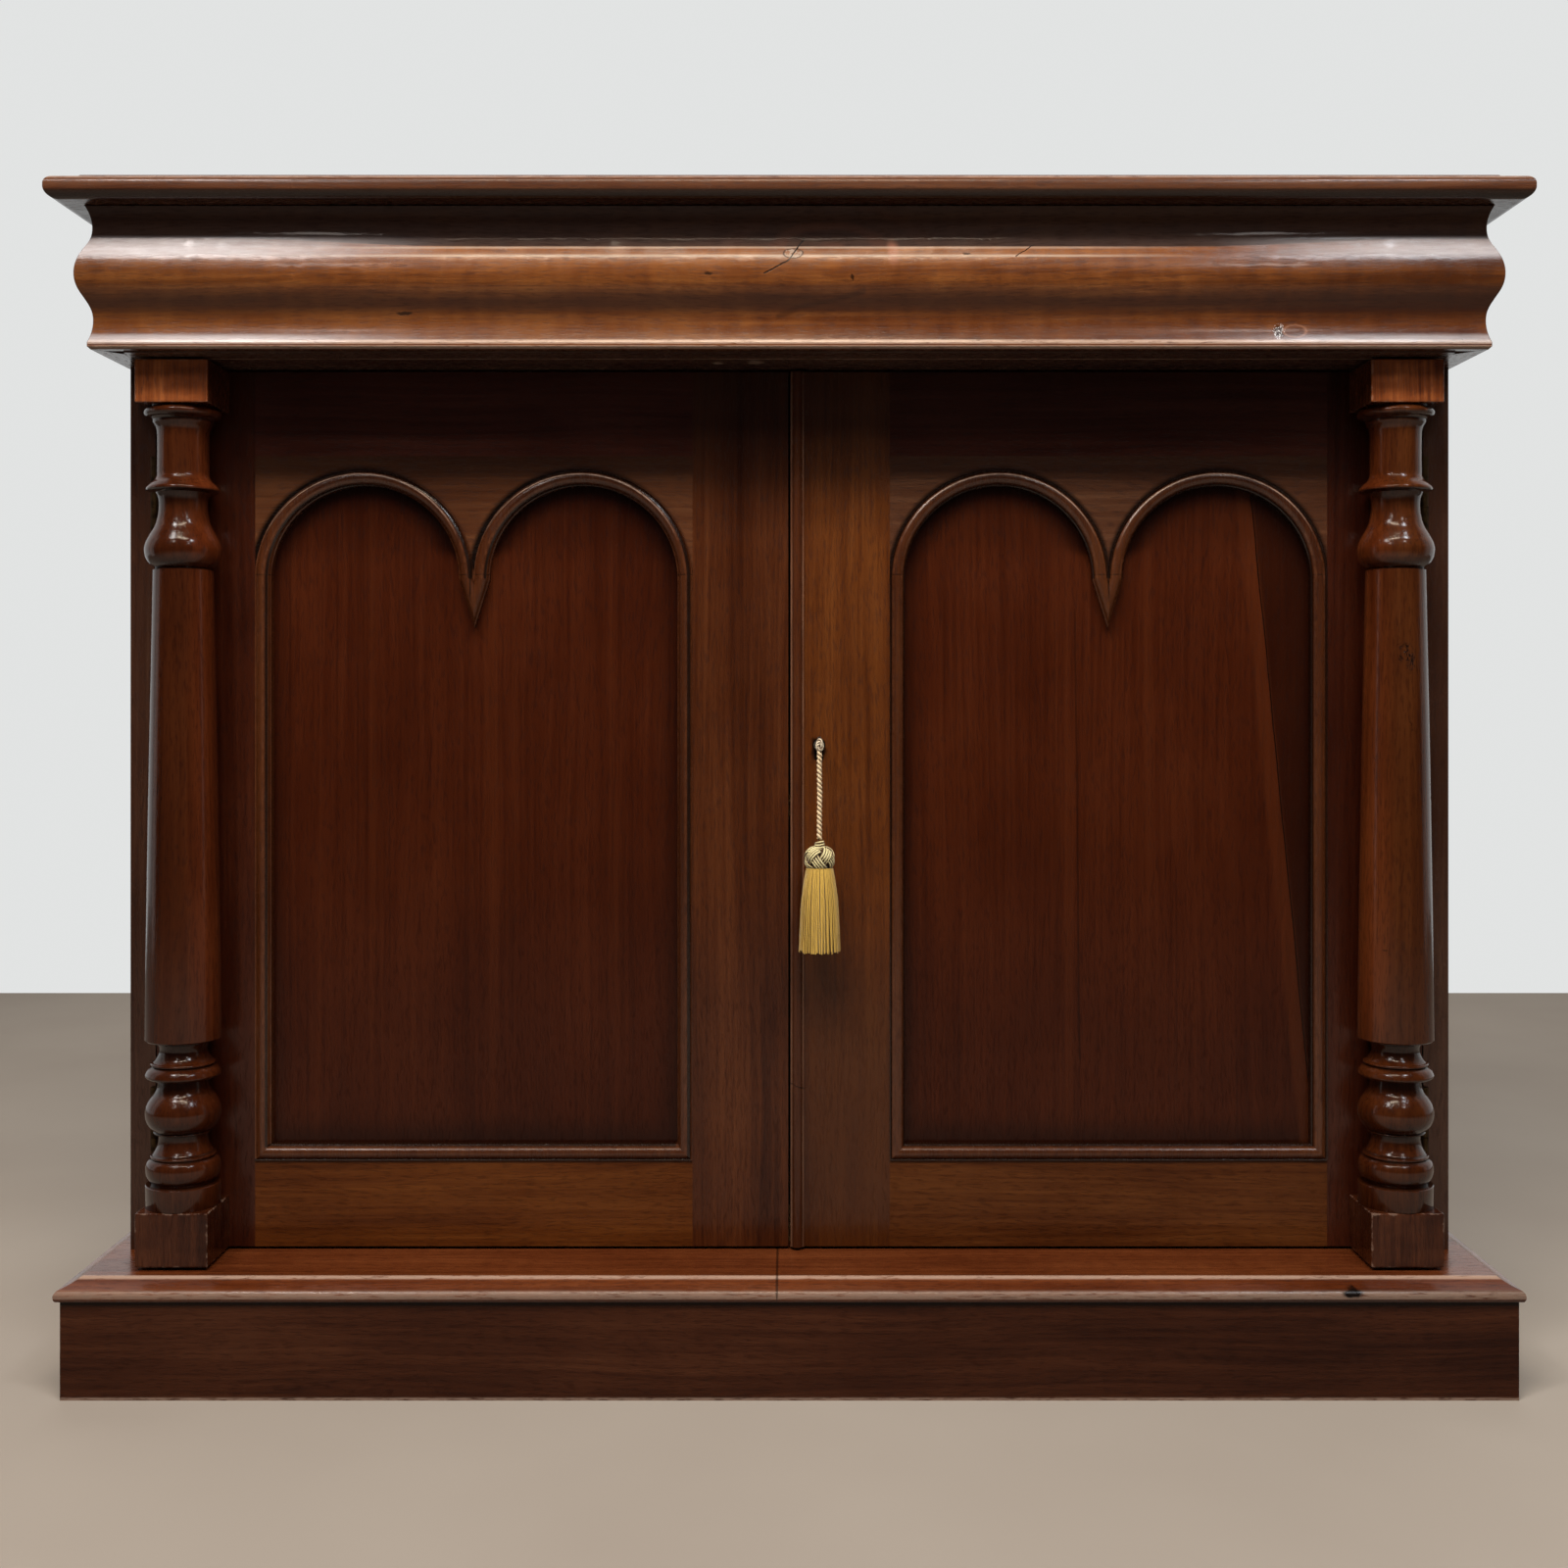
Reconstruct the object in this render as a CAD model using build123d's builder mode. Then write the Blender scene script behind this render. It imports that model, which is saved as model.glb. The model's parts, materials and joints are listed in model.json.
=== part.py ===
from build123d import *
import os

# A chiffonier: a low cupboard with a moulded top, an ogee frieze that is one wide drawer,
# two arched doors that carry turned columns, and a moulded plinth.
# Origin: centre of the top's outline, on the floor. +X right, +Y back, +Z up.
# The front faces -Y. All sizes are millimetres.

# --- Carcass ---
carcass_width = 1050.0
side_thickness = 20.0
back_thickness = 10.0
back_rebate = 10.0
back_board_count = 5
back_board_gap = 0.5
bottom_thickness = 16.0
shelf_thickness = 16.0
shelf_height = 430.0
shelf_setback = 13.0
bearer_width = 15.0
bearer_height = 15.0
bearer_chamfer = 9.0
fit_gap = 0.5

# --- Top board ---
top_depth = 457.0
top_overhang = 23.5
top_back_overhang = 6.5
top_thickness = 17.0
top_nose_upper = 7.0
top_nose_lower = 8.0
top_field_inset = 19.0
top_field_rise = 5.0
top_field_round = 2.0

# --- Frieze ---
frieze_height = 108.0
frieze_projection = 78.0
lip_overhang = 4.0
lip_height = 5.0
lip_chamfer = 2.0
low_cove_height = 22.5
low_cove_depth = 3.4
low_hollow_height = 29.6
low_hollow_depth = 2.4
low_slope_height = 37.2
low_slope_projection = 1.1
low_shoulder_height = 45.6
low_shoulder_projection = 5.5
bulge_height = 55.6
bulge_projection = 7.2
high_shoulder_height = 66.0
high_shoulder_projection = 5.7
high_slope_height = 75.2
high_slope_projection = 1.9
high_hollow_height = 83.0
high_hollow_depth = 1.7
high_cove_drop = 18.0
high_cove_depth = 2.9
frieze_flare = 1.5
mitre_gap = 1.0

# --- Doors ---
door_opening_height = 701.0
door_thickness = 22.0
door_bottom_gap = 2.5
door_top_gap = 2.0
door_side_gap = 1.0
left_meeting_gap = 1.0
right_meeting_gap = 0.7
left_meeting_stile = 76.3
right_meeting_stile = 79.2
panel_opening_width = 348.4
top_rail_height = 67.0
bottom_rail_height = 68.5
tenon_length = 40.0
tenon_thickness = 8.0
tenon_shoulder = 8.0
panel_recess = 10.0
panel_thickness = 7.8
groove_width = 8.0
groove_depth = 8.0

# --- Arches, beads and their V pendants ---
arch_top_drop = 11.3
arch_board_trim = 8.0
bead_width = 12.0
bead_arris = 11.2
bead_arris_width = 0.6
bead_quirk_depth = 0.7
bead_crown = 12.4
bead_crown_inset = 6.2
bead_step = 7.0
bead_step_width = 0.85
pendant_drop = 38.0

# --- Astragal on the right door's meeting edge ---
astragal_width = 11.0
astragal_projection = 4.5
astragal_shoulder = 1.5

# --- Blocks above and below the columns ---
block_width = 56.0
block_depth = 54.0
block_round = 0.8
foot_block_height = 41.5
head_block_height = 33.0
column_inset = 3.0

# --- Turned column: radius and height of each member, from the foot block up ---
disc_radius = 28.3
disc_height = 17.2
torus_foot_radius = 24.4
torus_quirk = 2.0
torus_radius = 28.2
torus_crown_rise = 10.0
torus_head_radius = 24.8
torus_height = 18.2
low_ring_radius = 24.6
low_ring_height = 3.2
low_neck_foot_radius = 22.4
low_neck_rise = 1.4
low_neck_waist_radius = 18.5
low_neck_waist_rise = 11.6
low_neck_head_radius = 18.9
low_neck_height = 15.8
bulb_ring_radius = 22.4
bulb_ring_height = 2.2
low_bulb_radius = 28.5
low_bulb_rise = 14.2
low_bulb_shoulder_radius = 25.2
low_bulb_shoulder_rise = 24.6
low_bulb_slope_radius = 21.2
low_bulb_slope_rise = 29.6
low_bulb_head_radius = 18.9
low_bulb_height = 39.6
knife_ring_foot_radius = 27.4
knife_ring_foot_rise = 1.6
knife_ring_radius = 28.3
knife_ring_rise = 3.8
knife_ring_shoulder_radius = 27.2
knife_ring_shoulder_rise = 6.8
knife_ring_head_radius = 24.2
knife_ring_height = 10.2
scotia_quirk = 0.9
scotia_ring_radius = 24.4
scotia_ring_height = 2.6
scotia_foot_radius = 23.0
scotia_radius = 18.0
scotia_rise = 9.4
scotia_head_radius = 19.6
scotia_height = 14.9
shaft_foot_slope = 2.6
shaft_foot_radius = 28.7
shaft_head_radius = 22.8

# --- The column's head: the same, down from the head block ---
rim_top_radius = 23.0
rim_top_drop = 1.5
rim_shoulder_radius = 25.5
rim_radius = 29.1
rim_drop = 5.0
rim_foot_radius = 24.0
rim_foot_drop = 9.0
rim_fillet_radius = 22.5
rim_fillet_drop = 10.5
flare_drop = 12.5
flare_radius = 20.3
flare_middle_drop = 16.0
high_neck_radius = 19.6
high_neck_top_drop = 23.0
high_neck_foot_drop = 54.0
hollow_radius = 23.3
hollow_drop = 58.6
knife_radius = 27.6
knife_drop = 63.8
knife_edge = 0.6
knife_slope = 1.5
waist_head_radius = 20.8
waist_radius = 18.4
waist_drop = 78.0
high_bulb_neck_radius = 20.0
high_bulb_neck_drop = 88.4
high_bulb_head_radius = 25.0
high_bulb_head_drop = 99.6
high_bulb_radius = 29.0
high_bulb_drop = 112.4
scribe_drop = 126.0
scribe_depth = 1.6
scribe_half_width = 0.9

# --- Plinth ---
plinth_height = 75.0
plinth_thickness = 20.0
plinth_overhang = 24.5
plinth_projection = 77.0
plinth_top_thickness = 15.0
plinth_nose = 4.0
plinth_nose_undercut = 1.2
plinth_nose_crown = 4.5
plinth_nose_shoulder = 8.4
plinth_nose_setback = 2.6
plinth_step = 1.0
plinth_step_rise = 0.3
plinth_hollow_width = 16.0
plinth_hollow_sag = 0.7
glue_block_size = 25.0
glue_block_height = 62.0

# --- Drawer and what carries it ---
rail_depth = 110.0
rail_thickness = 18.0
rail_lift = 1.0
lip_rebate = 9.0
facing_thickness = 19.0
facing_top_gap = 0.8
drawer_front_thickness = 16.0
drawer_side_thickness = 11.0
drawer_back_thickness = 10.0
drawer_bottom_thickness = 6.0
drawer_bottom_lift = 9.6
drawer_groove_depth = 5.0
drawer_side_height = 80.0
drawer_side_gap = 1.5
drawer_run_gap = 0.4
drawer_back_gap = 2.0
dovetail_lap = 4.0
front_tail_count = 4
back_tail_count = 3
tail_root = 5.0
tail_flare = 2.0
runner_width = 35.0
kicker_width = 25.0
kicker_thickness = 7.0
dust_board_thickness = 6.0
dust_groove = 6.0
back_rail_height = 30.0
back_rail_thickness = 20.0
stop_length = 100.0
stop_height = 6.0
door_stop_height = 10.0
stop_depth = 10.0

# --- Hinges ---
hinge_length = 60.0
hinge_inset = 70.0
knuckle_radius = 3.5
knuckle_clear = 0.5
knuckle_gap = 0.4
pin_radius = 1.5
pin_fit = 0.02
pin_running = 0.05
leaf_thickness = 1.8
leaf_width = 18.5
pin_standoff = 2.5

# --- Lock, key and tassel ---
key_x = 23.5
key_height = 492.0
shank_radius = 2.6
bit_reach = 9.0
bit_thickness = 2.4
bit_width = 6.5
key_end_gap = 0.4
bit_gap = 1.0
keyhole_radius = 3.4
keyhole_slot = 3.4
keyhole_drop = 10.0
escutcheon_wall = 1.8
escutcheon_depth = 3.0
escutcheon_proud = 0.4
bow_length = 18.0
bow_height = 14.0
bow_rim = 3.0
bow_thickness = 3.0
bow_round = 0.9
bow_standoff = 8.0
collar_radius = 4.2
collar_length = 2.5
lock_width = 49.0
lock_depth = 12.0
lock_above = 18.0
lock_below = 26.0
lock_wall = 1.5
bolt_height = 9.0
bolt_thickness = 4.0
bolt_length = 40.0
bolt_rise = 6.5
bolt_throw = 9.0
bolt_slide_gap = 0.3
bolt_set_back = 0.5
notch_start = 7.2
notch_width = 7.0
notch_depth = 3.4
strike_thickness = 1.2
strike_width = 16.0
strike_height = 30.0
hitch_radius = 4.2
hitch_gap = 0.3
hitch_offset = 0.5
cord_radius = 2.1
cord_length = 68.5
tassel_knot_radius = 13.6
tassel_knot_height = 21.0
tassel_knot_flat = 5.0
tassel_collar_radius = 4.2
tassel_collar_height = 5.0
skirt_neck_radius = 8.8
skirt_top_radius = 11.0
skirt_waist_radius = 14.7
skirt_waist_drop = 28.8
skirt_bottom_radius = 17.2
skirt_length = 64.0

# --- Slide bolt inside the left door ---
slide_bolt_x = -38.0
slide_bolt_radius = 3.0
slide_bolt_length = 74.0
slide_bolt_travel = 11.0
slide_bolt_gap = 0.3
bolt_plate_width = 20.0
bolt_plate_height = 76.0
bolt_plate_thickness = 2.0
bolt_guide_height = 10.0
bolt_guide_wall = 2.2
bolt_knob_length = 8.0
keep_size = 22.0
keep_thickness = 1.5
keep_depth = 13.0

# --- Places that follow from the driving dimensions ---
side_outer = carcass_width / 2
side_inner = side_outer - side_thickness
lip_half = side_outer + lip_overhang
top_half = lip_half + top_overhang
top_front = -top_depth / 2
top_back = top_depth / 2
lip_front = top_front + top_overhang
door_face = lip_front + frieze_projection
door_back = door_face + door_thickness
carcass_back = top_back - top_back_overhang
back_face = carcass_back - back_thickness

base_top = plinth_height + plinth_top_thickness
rail_bottom = base_top + door_opening_height
rail_top = rail_bottom + rail_thickness
frieze_bottom = rail_bottom + rail_lift
frieze_top = frieze_bottom + frieze_height
nose_top = frieze_top + top_thickness

plinth_half = side_outer + plinth_overhang
plinth_front_face = door_face - plinth_projection

door_bottom = base_top + door_bottom_gap
door_top = rail_bottom - door_top_gap
hinge_edge = side_inner - door_side_gap
panel_face = door_face + panel_recess
panel_bottom = door_bottom + bottom_rail_height
arch_board_top = door_top - top_rail_height
arch_radius = panel_opening_width / 4
springing = arch_board_top - arch_top_drop - arch_radius

column_x = side_inner - block_width / 2 - column_inset
column_y = door_face - block_depth + disc_radius
foot_block_top = door_bottom + foot_block_height
head_block_bottom = door_top - head_block_height

pin_x = side_inner - door_side_gap / 2
pin_y = door_face - pin_standoff
hinge_heights = (base_top + hinge_inset + hinge_length / 2, rail_bottom - hinge_inset - hinge_length / 2)

os.makedirs("parts", exist_ok=True)


def save(builder, label):
    """Label a finished piece and write it."""
    builder.part.label = label
    export_step(builder.part, f"parts/{label}.step")


def board(x, y, z, mode=Mode.ADD):
    """A plain board between its limits along each axis."""
    (x0, x1), (y0, y1), (z0, z1) = sorted(x), sorted(y), sorted(z)
    with Locations(((x0 + x1) / 2, (y0 + y1) / 2, (z0 + z1) / 2)):
        Box(x1 - x0, y1 - y0, z1 - z0, mode=mode)


def span(middle, length):
    """Both ends of a length about its middle."""
    return (middle - length / 2, middle + length / 2)


def mirrored(builder):
    """The same piece on the other side of the chiffonier."""
    with BuildPart() as twin:
        mirror(builder.part, about=Plane.YZ)
    return twin


def edges_ahead(edges, y):
    """The edges whose middles lie in front of a depth."""
    return edges.filter_by_position(Axis.Y, top_front - plinth_projection, y)


# =====================================================================================
# Plinth
# =====================================================================================

front_inside = plinth_front_face + plinth_thickness
back_inside = carcass_back - plinth_thickness
with BuildPart() as plinth_front:
    board((-plinth_half, plinth_half), (plinth_front_face, front_inside), (0, plinth_height))
    for end in (-1, 1):
        corner = (end * plinth_half, plinth_front_face, 0)
        split(bisect_by=Plane(corner, z_dir=(-end, -1, 0)), keep=Keep.TOP)
save(plinth_front, "plinth_front")

plinth_inner = plinth_half - plinth_thickness
with BuildPart() as plinth_sides:
    board((plinth_inner, plinth_half), (plinth_front_face, carcass_back), (0, plinth_height))
    split(bisect_by=Plane((plinth_half, plinth_front_face, 0), z_dir=(1, 1, 0)), keep=Keep.TOP)
    mirror(about=Plane.YZ)
save(plinth_sides, "plinth_sides")

with BuildPart() as plinth_back:
    board((-plinth_inner, plinth_inner), (back_inside, carcass_back), (0, plinth_height))
save(plinth_back, "plinth_back")

with BuildPart() as plinth_blocks:
    block_reach = plinth_inner - glue_block_size
    block_z = (plinth_height - glue_block_height, plinth_height)
    for end in (-1, 1):
        block_x = (end * block_reach, end * plinth_inner)
        board(block_x, (front_inside, front_inside + glue_block_size), block_z)
        board(block_x, (back_inside - glue_block_size, back_inside), block_z)
save(plinth_blocks, "plinth_blocks")

# The waste outside the plinth moulding: a hollow above a rounded nose.
# Local x runs inwards from the nose, local y up from the underside.
waste_margin = 1.0
step_foot = (plinth_nose_setback, plinth_nose_shoulder)
step_head = (plinth_nose_setback + plinth_step, plinth_nose_shoulder + plinth_step_rise)
hollow_head = (plinth_hollow_width, plinth_top_thickness)
with BuildSketch() as moulding_waste:
    with BuildLine():
        ThreePointArc((plinth_nose_undercut, 0), (0, plinth_nose_crown), step_foot)
        Line(step_foot, step_head)
        SagittaArc(step_head, hollow_head, -plinth_hollow_sag)
        Polyline(
            hollow_head,
            (plinth_hollow_width, plinth_top_thickness + waste_margin),
            (-waste_margin, plinth_top_thickness + waste_margin),
            (-waste_margin, -waste_margin),
            (plinth_nose_undercut, -waste_margin),
            (plinth_nose_undercut, 0),
        )
    make_face()

nose_half = plinth_half + plinth_nose
nose_front = plinth_front_face - plinth_nose
nose_back = carcass_back + waste_margin
side_run = nose_back - nose_front + waste_margin
with BuildPart() as plinth_top:
    board((-nose_half, nose_half), (nose_front, carcass_back), (plinth_height, base_top))
    for start, inwards, along, run in (
        ((-nose_half - waste_margin, nose_front), (0, 1, 0), (1, 0, 0), 2 * (nose_half + waste_margin)),
        ((-nose_half, nose_back), (1, 0, 0), (0, -1, 0), side_run),
        ((nose_half, nose_front - waste_margin), (-1, 0, 0), (0, 1, 0), side_run),
    ):
        with BuildSketch(Plane((*start, plinth_height), x_dir=inwards, z_dir=along)):
            add(moulding_waste.sketch)
        extrude(amount=run, mode=Mode.SUBTRACT)
save(plinth_top, "plinth_top")

# =====================================================================================
# Carcass
# =====================================================================================


def hinge_beds(side, edge, depth):
    """Cut the beds of a side's hinge leaves, and the hollows round their knuckles."""
    leaf_end = pin_y + knuckle_radius + knuckle_clear + leaf_width
    for height in hinge_heights:
        bed_z = span(height, hinge_length)
        board((side * edge, side * (edge + depth)), (pin_y, leaf_end), bed_z, Mode.SUBTRACT)
        with Locations((side * pin_x, pin_y, height)):
            Cylinder(knuckle_radius + knuckle_clear, hinge_length, mode=Mode.SUBTRACT)


rebate_x = (side_inner, side_inner + back_rebate)
rebate_y = (back_face, carcass_back)
with BuildPart() as carcass_side:
    board((side_inner, side_outer), (door_face, carcass_back), (base_top, frieze_bottom))
    board(rebate_x, rebate_y, (base_top, frieze_bottom), Mode.SUBTRACT)
    hinge_beds(1, side_inner, leaf_thickness)
save(carcass_side, "carcass_side_right")
save(mirrored(carcass_side), "carcass_side_left")

bottom_z = (base_top, base_top + bottom_thickness)
with BuildPart() as bottom_board:
    board((-side_inner, side_inner), (door_back + fit_gap, back_face), bottom_z)
save(bottom_board, "bottom_board")

shelf_front = door_back + shelf_setback
with BuildPart() as shelf:
    board(
        (fit_gap - side_inner, side_inner - fit_gap),
        (shelf_front, back_face - fit_gap),
        (shelf_height, shelf_height + shelf_thickness),
    )
save(shelf, "shelf")

with BuildPart() as shelf_bearers:
    board(
        (side_inner - bearer_width, side_inner),
        (shelf_front + bearer_width, back_face - fit_gap),
        (shelf_height - bearer_height, shelf_height),
    )
    front_edges = shelf_bearers.edges().filter_by(Axis.X).group_by(Axis.Y)[0]
    chamfer(front_edges.sort_by(Axis.Z)[0], bearer_chamfer)
    mirror(about=Plane.YZ)
save(shelf_bearers, "shelf_bearers")

back_half = side_inner + back_rebate - fit_gap
back_width = (2 * back_half - (back_board_count - 1) * back_board_gap) / back_board_count
with BuildPart() as back_boards:
    for number in range(back_board_count):
        left = -back_half + number * (back_width + back_board_gap)
        board((left, left + back_width), (back_face, carcass_back), (base_top, frieze_top))
save(back_boards, "back_boards")

# =====================================================================================
# Frieze, top and what carries the drawer
# =====================================================================================

# Section of the frieze. Local x runs outwards from the lip, local y up from the lip's foot.
frieze_inside = -(lip_overhang + side_thickness)
with BuildSketch() as ogee:
    with BuildLine():
        Spline(
            (0, lip_height),
            (-low_cove_depth, low_cove_height),
            (-low_hollow_depth, low_hollow_height),
            (low_slope_projection, low_slope_height),
            (low_shoulder_projection, low_shoulder_height),
            (bulge_projection, bulge_height),
            (high_shoulder_projection, high_shoulder_height),
            (high_slope_projection, high_slope_height),
            (-high_hollow_depth, high_hollow_height),
            (-high_cove_depth, frieze_height - high_cove_drop),
            (frieze_flare, frieze_height),
        )
        Polyline(
            (frieze_flare, frieze_height),
            (frieze_inside, frieze_height),
            (frieze_inside, 0),
            (-lip_chamfer, 0),
            (0, lip_chamfer),
            (0, lip_height),
        )
    make_face()

with BuildPart() as frieze_side:
    with BuildSketch(Plane((lip_half, carcass_back, frieze_bottom), x_dir=(1, 0, 0), z_dir=(0, -1, 0))):
        add(ogee.sketch)
    extrude(amount=carcass_back - lip_front + 2 * bulge_projection)
    mitre = Plane((lip_half, lip_front + mitre_gap / 2, 0), z_dir=(1, 1, 0))
    split(bisect_by=mitre, keep=Keep.TOP)
    board(rebate_x, rebate_y, (frieze_bottom, frieze_top), Mode.SUBTRACT)
save(frieze_side, "frieze_side_right")
save(mirrored(frieze_side), "frieze_side_left")

rail_front = lip_front + lip_rebate + mitre_gap
rail_back = rail_front + rail_depth
bolt_axis_y = door_back + bolt_plate_thickness + slide_bolt_radius + slide_bolt_gap
with BuildPart() as drawer_rail:
    board((-side_inner, side_inner), (rail_front, rail_back), (rail_bottom, rail_top))
    board(
        (dust_groove - side_inner, side_inner - dust_groove),
        (rail_back - dust_groove, rail_back),
        (rail_bottom + dust_board_thickness, rail_bottom + 2 * dust_board_thickness),
        Mode.SUBTRACT,
    )
    with Locations((slide_bolt_x, bolt_axis_y, rail_bottom)):
        Box(keep_size, keep_size, 2 * keep_thickness, mode=Mode.SUBTRACT)
        Cylinder(slide_bolt_radius + slide_bolt_gap, 2 * keep_depth, mode=Mode.SUBTRACT)
save(drawer_rail, "drawer_rail")

with BuildPart() as bolt_keep:
    with Locations((slide_bolt_x, bolt_axis_y, rail_bottom + keep_thickness / 2)):
        Box(keep_size, keep_size, keep_thickness)
        Cylinder(slide_bolt_radius + slide_bolt_gap, keep_thickness, mode=Mode.SUBTRACT)
save(bolt_keep, "bolt_keep")

dust_z = (rail_bottom + dust_board_thickness, rail_bottom + 2 * dust_board_thickness)
runner_inner = side_inner - runner_width
with BuildPart() as drawer_runners:
    board((runner_inner, side_inner), (rail_back, back_face), (rail_bottom, rail_top))
    board((runner_inner, runner_inner + dust_groove), (rail_back, back_face), dust_z, Mode.SUBTRACT)
    mirror(about=Plane.YZ)
save(drawer_runners, "drawer_runners")

with BuildPart() as dust_board:
    dust_half = runner_inner + dust_groove - fit_gap
    board((-dust_half, dust_half), (rail_back - dust_groove + fit_gap, back_face), dust_z)
save(dust_board, "dust_board")

back_rail_face = back_face - back_rail_thickness
back_rail_z = (frieze_top - back_rail_height, frieze_top)
with BuildPart() as top_back_rail:
    board((-side_inner, side_inner), (back_rail_face, back_face), back_rail_z)
save(top_back_rail, "top_back_rail")

inner_front_face = lip_front + facing_thickness
inner_front_back = inner_front_face + drawer_front_thickness
with BuildPart() as drawer_kickers:
    board(
        (side_inner - kicker_width, side_inner),
        (inner_front_back + stop_depth, back_rail_face),
        (frieze_top - kicker_thickness, frieze_top),
    )
    mirror(about=Plane.YZ)
save(drawer_kickers, "drawer_kickers")

with BuildPart() as stop_blocks:
    stop_x = span(side_inner / 2, stop_length)
    drawer_stop_y = inner_front_back + fit_gap
    door_stop_y = door_back + fit_gap
    board(stop_x, (drawer_stop_y, drawer_stop_y + stop_depth), (rail_top, rail_top + stop_height))
    board(stop_x, (door_stop_y, door_stop_y + stop_depth), (rail_bottom - door_stop_height, rail_bottom))
    mirror(about=Plane.YZ)
save(stop_blocks, "stop_blocks")

with BuildPart() as top_board:
    moulded_to = top_back - fit_gap
    board((-top_half, top_half), (top_front, top_back), (frieze_top, nose_top))
    fillet(edges_ahead(top_board.faces().sort_by(Axis.Z)[-1].edges(), moulded_to), top_nose_upper)
    fillet(edges_ahead(top_board.faces().sort_by(Axis.Z)[0].edges(), moulded_to), top_nose_lower)
    field_half = top_half - top_field_inset
    field_z = (nose_top, nose_top + top_field_rise)
    board((-field_half, field_half), (top_front + top_field_inset, top_back), field_z)
    fillet(edges_ahead(top_board.faces().sort_by(Axis.Z)[-1].edges(), moulded_to), top_field_round)
save(top_board, "top_board")

# =====================================================================================
# Drawer
# =====================================================================================

drawer_half = side_inner - drawer_side_gap
drawer_bottom_edge = rail_top + drawer_run_gap
drawer_top_edge = drawer_bottom_edge + drawer_side_height
drawer_floor_low = drawer_bottom_edge + drawer_bottom_lift
drawer_floor = (drawer_floor_low, drawer_floor_low + drawer_bottom_thickness)
drawer_end = back_rail_face - drawer_back_gap
back_root = drawer_end - drawer_back_thickness
side_face = drawer_half - drawer_side_thickness
groove_reach = side_face + drawer_groove_depth
groove_front = inner_front_back - drawer_groove_depth

with BuildPart() as drawer_facing:
    facing_end = (lip_half + 2 * bulge_projection, lip_front, frieze_bottom)
    with BuildSketch(Plane(facing_end, x_dir=(0, -1, 0), z_dir=(-1, 0, 0))):
        add(ogee.sketch)
    extrude(amount=2 * lip_half + 4 * bulge_projection)
    wide = (-top_half, top_half)
    board(wide, (inner_front_face, door_face), (frieze_bottom, frieze_top), Mode.SUBTRACT)
    board(wide, (lip_front + lip_rebate, door_face), (frieze_bottom, rail_top + rail_lift), Mode.SUBTRACT)
    board(wide, (top_front, door_face), (frieze_top - facing_top_gap, frieze_top), Mode.SUBTRACT)
    for end in (-1, 1):
        mitre = Plane((end * lip_half, lip_front - mitre_gap / 2, 0), z_dir=(-end, -1, 0))
        split(bisect_by=mitre, keep=Keep.TOP)
save(drawer_facing, "drawer_facing")


def dovetails(root, tip, low, high, count):
    """Draw evenly spaced tails that widen from their roots to their tips."""
    pitch = (high - low) / count
    for number in range(count):
        height = low + pitch * (number + 0.5)
        Polygon(
            (root, height - tail_root),
            (tip, height - tail_root - tail_flare),
            (tip, height + tail_root + tail_flare),
            (root, height + tail_root),
            align=None,
        )


back_low = drawer_floor[1]
back_high = drawer_top_edge - kicker_thickness
with BuildPart() as drawer_sides:
    side_x = (side_face, drawer_half)
    board(side_x, (inner_front_back, back_root), (drawer_bottom_edge, drawer_top_edge))
    board(side_x, (back_root, drawer_end), (drawer_bottom_edge, back_low))
    with BuildSketch(Plane.YZ.offset(side_face)):
        front_tip = inner_front_face + dovetail_lap
        tails_low = drawer_bottom_edge + tail_root
        tails_high = drawer_top_edge - tail_root
        dovetails(inner_front_back, front_tip, tails_low, tails_high, front_tail_count)
        dovetails(back_root, drawer_end, back_low, back_high, back_tail_count)
    extrude(amount=drawer_side_thickness)
    board((side_face, groove_reach), (groove_front, drawer_end), drawer_floor, Mode.SUBTRACT)
    mirror(about=Plane.YZ)
save(drawer_sides, "drawer_sides")

with BuildPart() as drawer_inner_front:
    inner_front_z = (rail_top + 2 * rail_lift, drawer_top_edge)
    board((-drawer_half, drawer_half), (inner_front_face, inner_front_back), inner_front_z)
    add(drawer_sides.part, mode=Mode.SUBTRACT)
    board((-groove_reach, groove_reach), (groove_front, inner_front_back), drawer_floor, Mode.SUBTRACT)
save(drawer_inner_front, "drawer_inner_front")

with BuildPart() as drawer_back:
    board((-drawer_half, drawer_half), (back_root, drawer_end), (back_low, back_high))
    add(drawer_sides.part, mode=Mode.SUBTRACT)
save(drawer_back, "drawer_back")

with BuildPart() as drawer_bottom:
    floor_half = groove_reach - fit_gap
    board((-floor_half, floor_half), (groove_front + fit_gap, drawer_end), drawer_floor)
save(drawer_bottom, "drawer_bottom")

# =====================================================================================
# Hinges: three knuckles each, the middle one on the door's leaf
# =====================================================================================


def hinge_leaf(height, plate, knuckles, bore):
    """One leaf of a hinge, on the right: its plate and its share of the knuckles."""
    plate_front = pin_y + knuckle_radius + knuckle_clear
    board(plate, (plate_front, plate_front + leaf_width), span(height, hinge_length))
    for low, high in knuckles:
        board(plate, (pin_y, plate_front), (height + low, height + high))
        with Locations((pin_x, pin_y, height + (low + high) / 2)):
            Cylinder(knuckle_radius, high - low)
    with Locations((pin_x, pin_y, height)):
        Cylinder(bore, hinge_length, mode=Mode.SUBTRACT)


middle_knuckle = span(0, hinge_length / 3 - knuckle_gap)
outer_knuckle = (hinge_length / 6 + knuckle_gap / 2, hinge_length / 2)
fixed_knuckles = ((-outer_knuckle[1], -outer_knuckle[0]), outer_knuckle)
fixed_plate = (side_inner, side_inner + leaf_thickness)
door_plate = (hinge_edge - leaf_thickness, hinge_edge)

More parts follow.
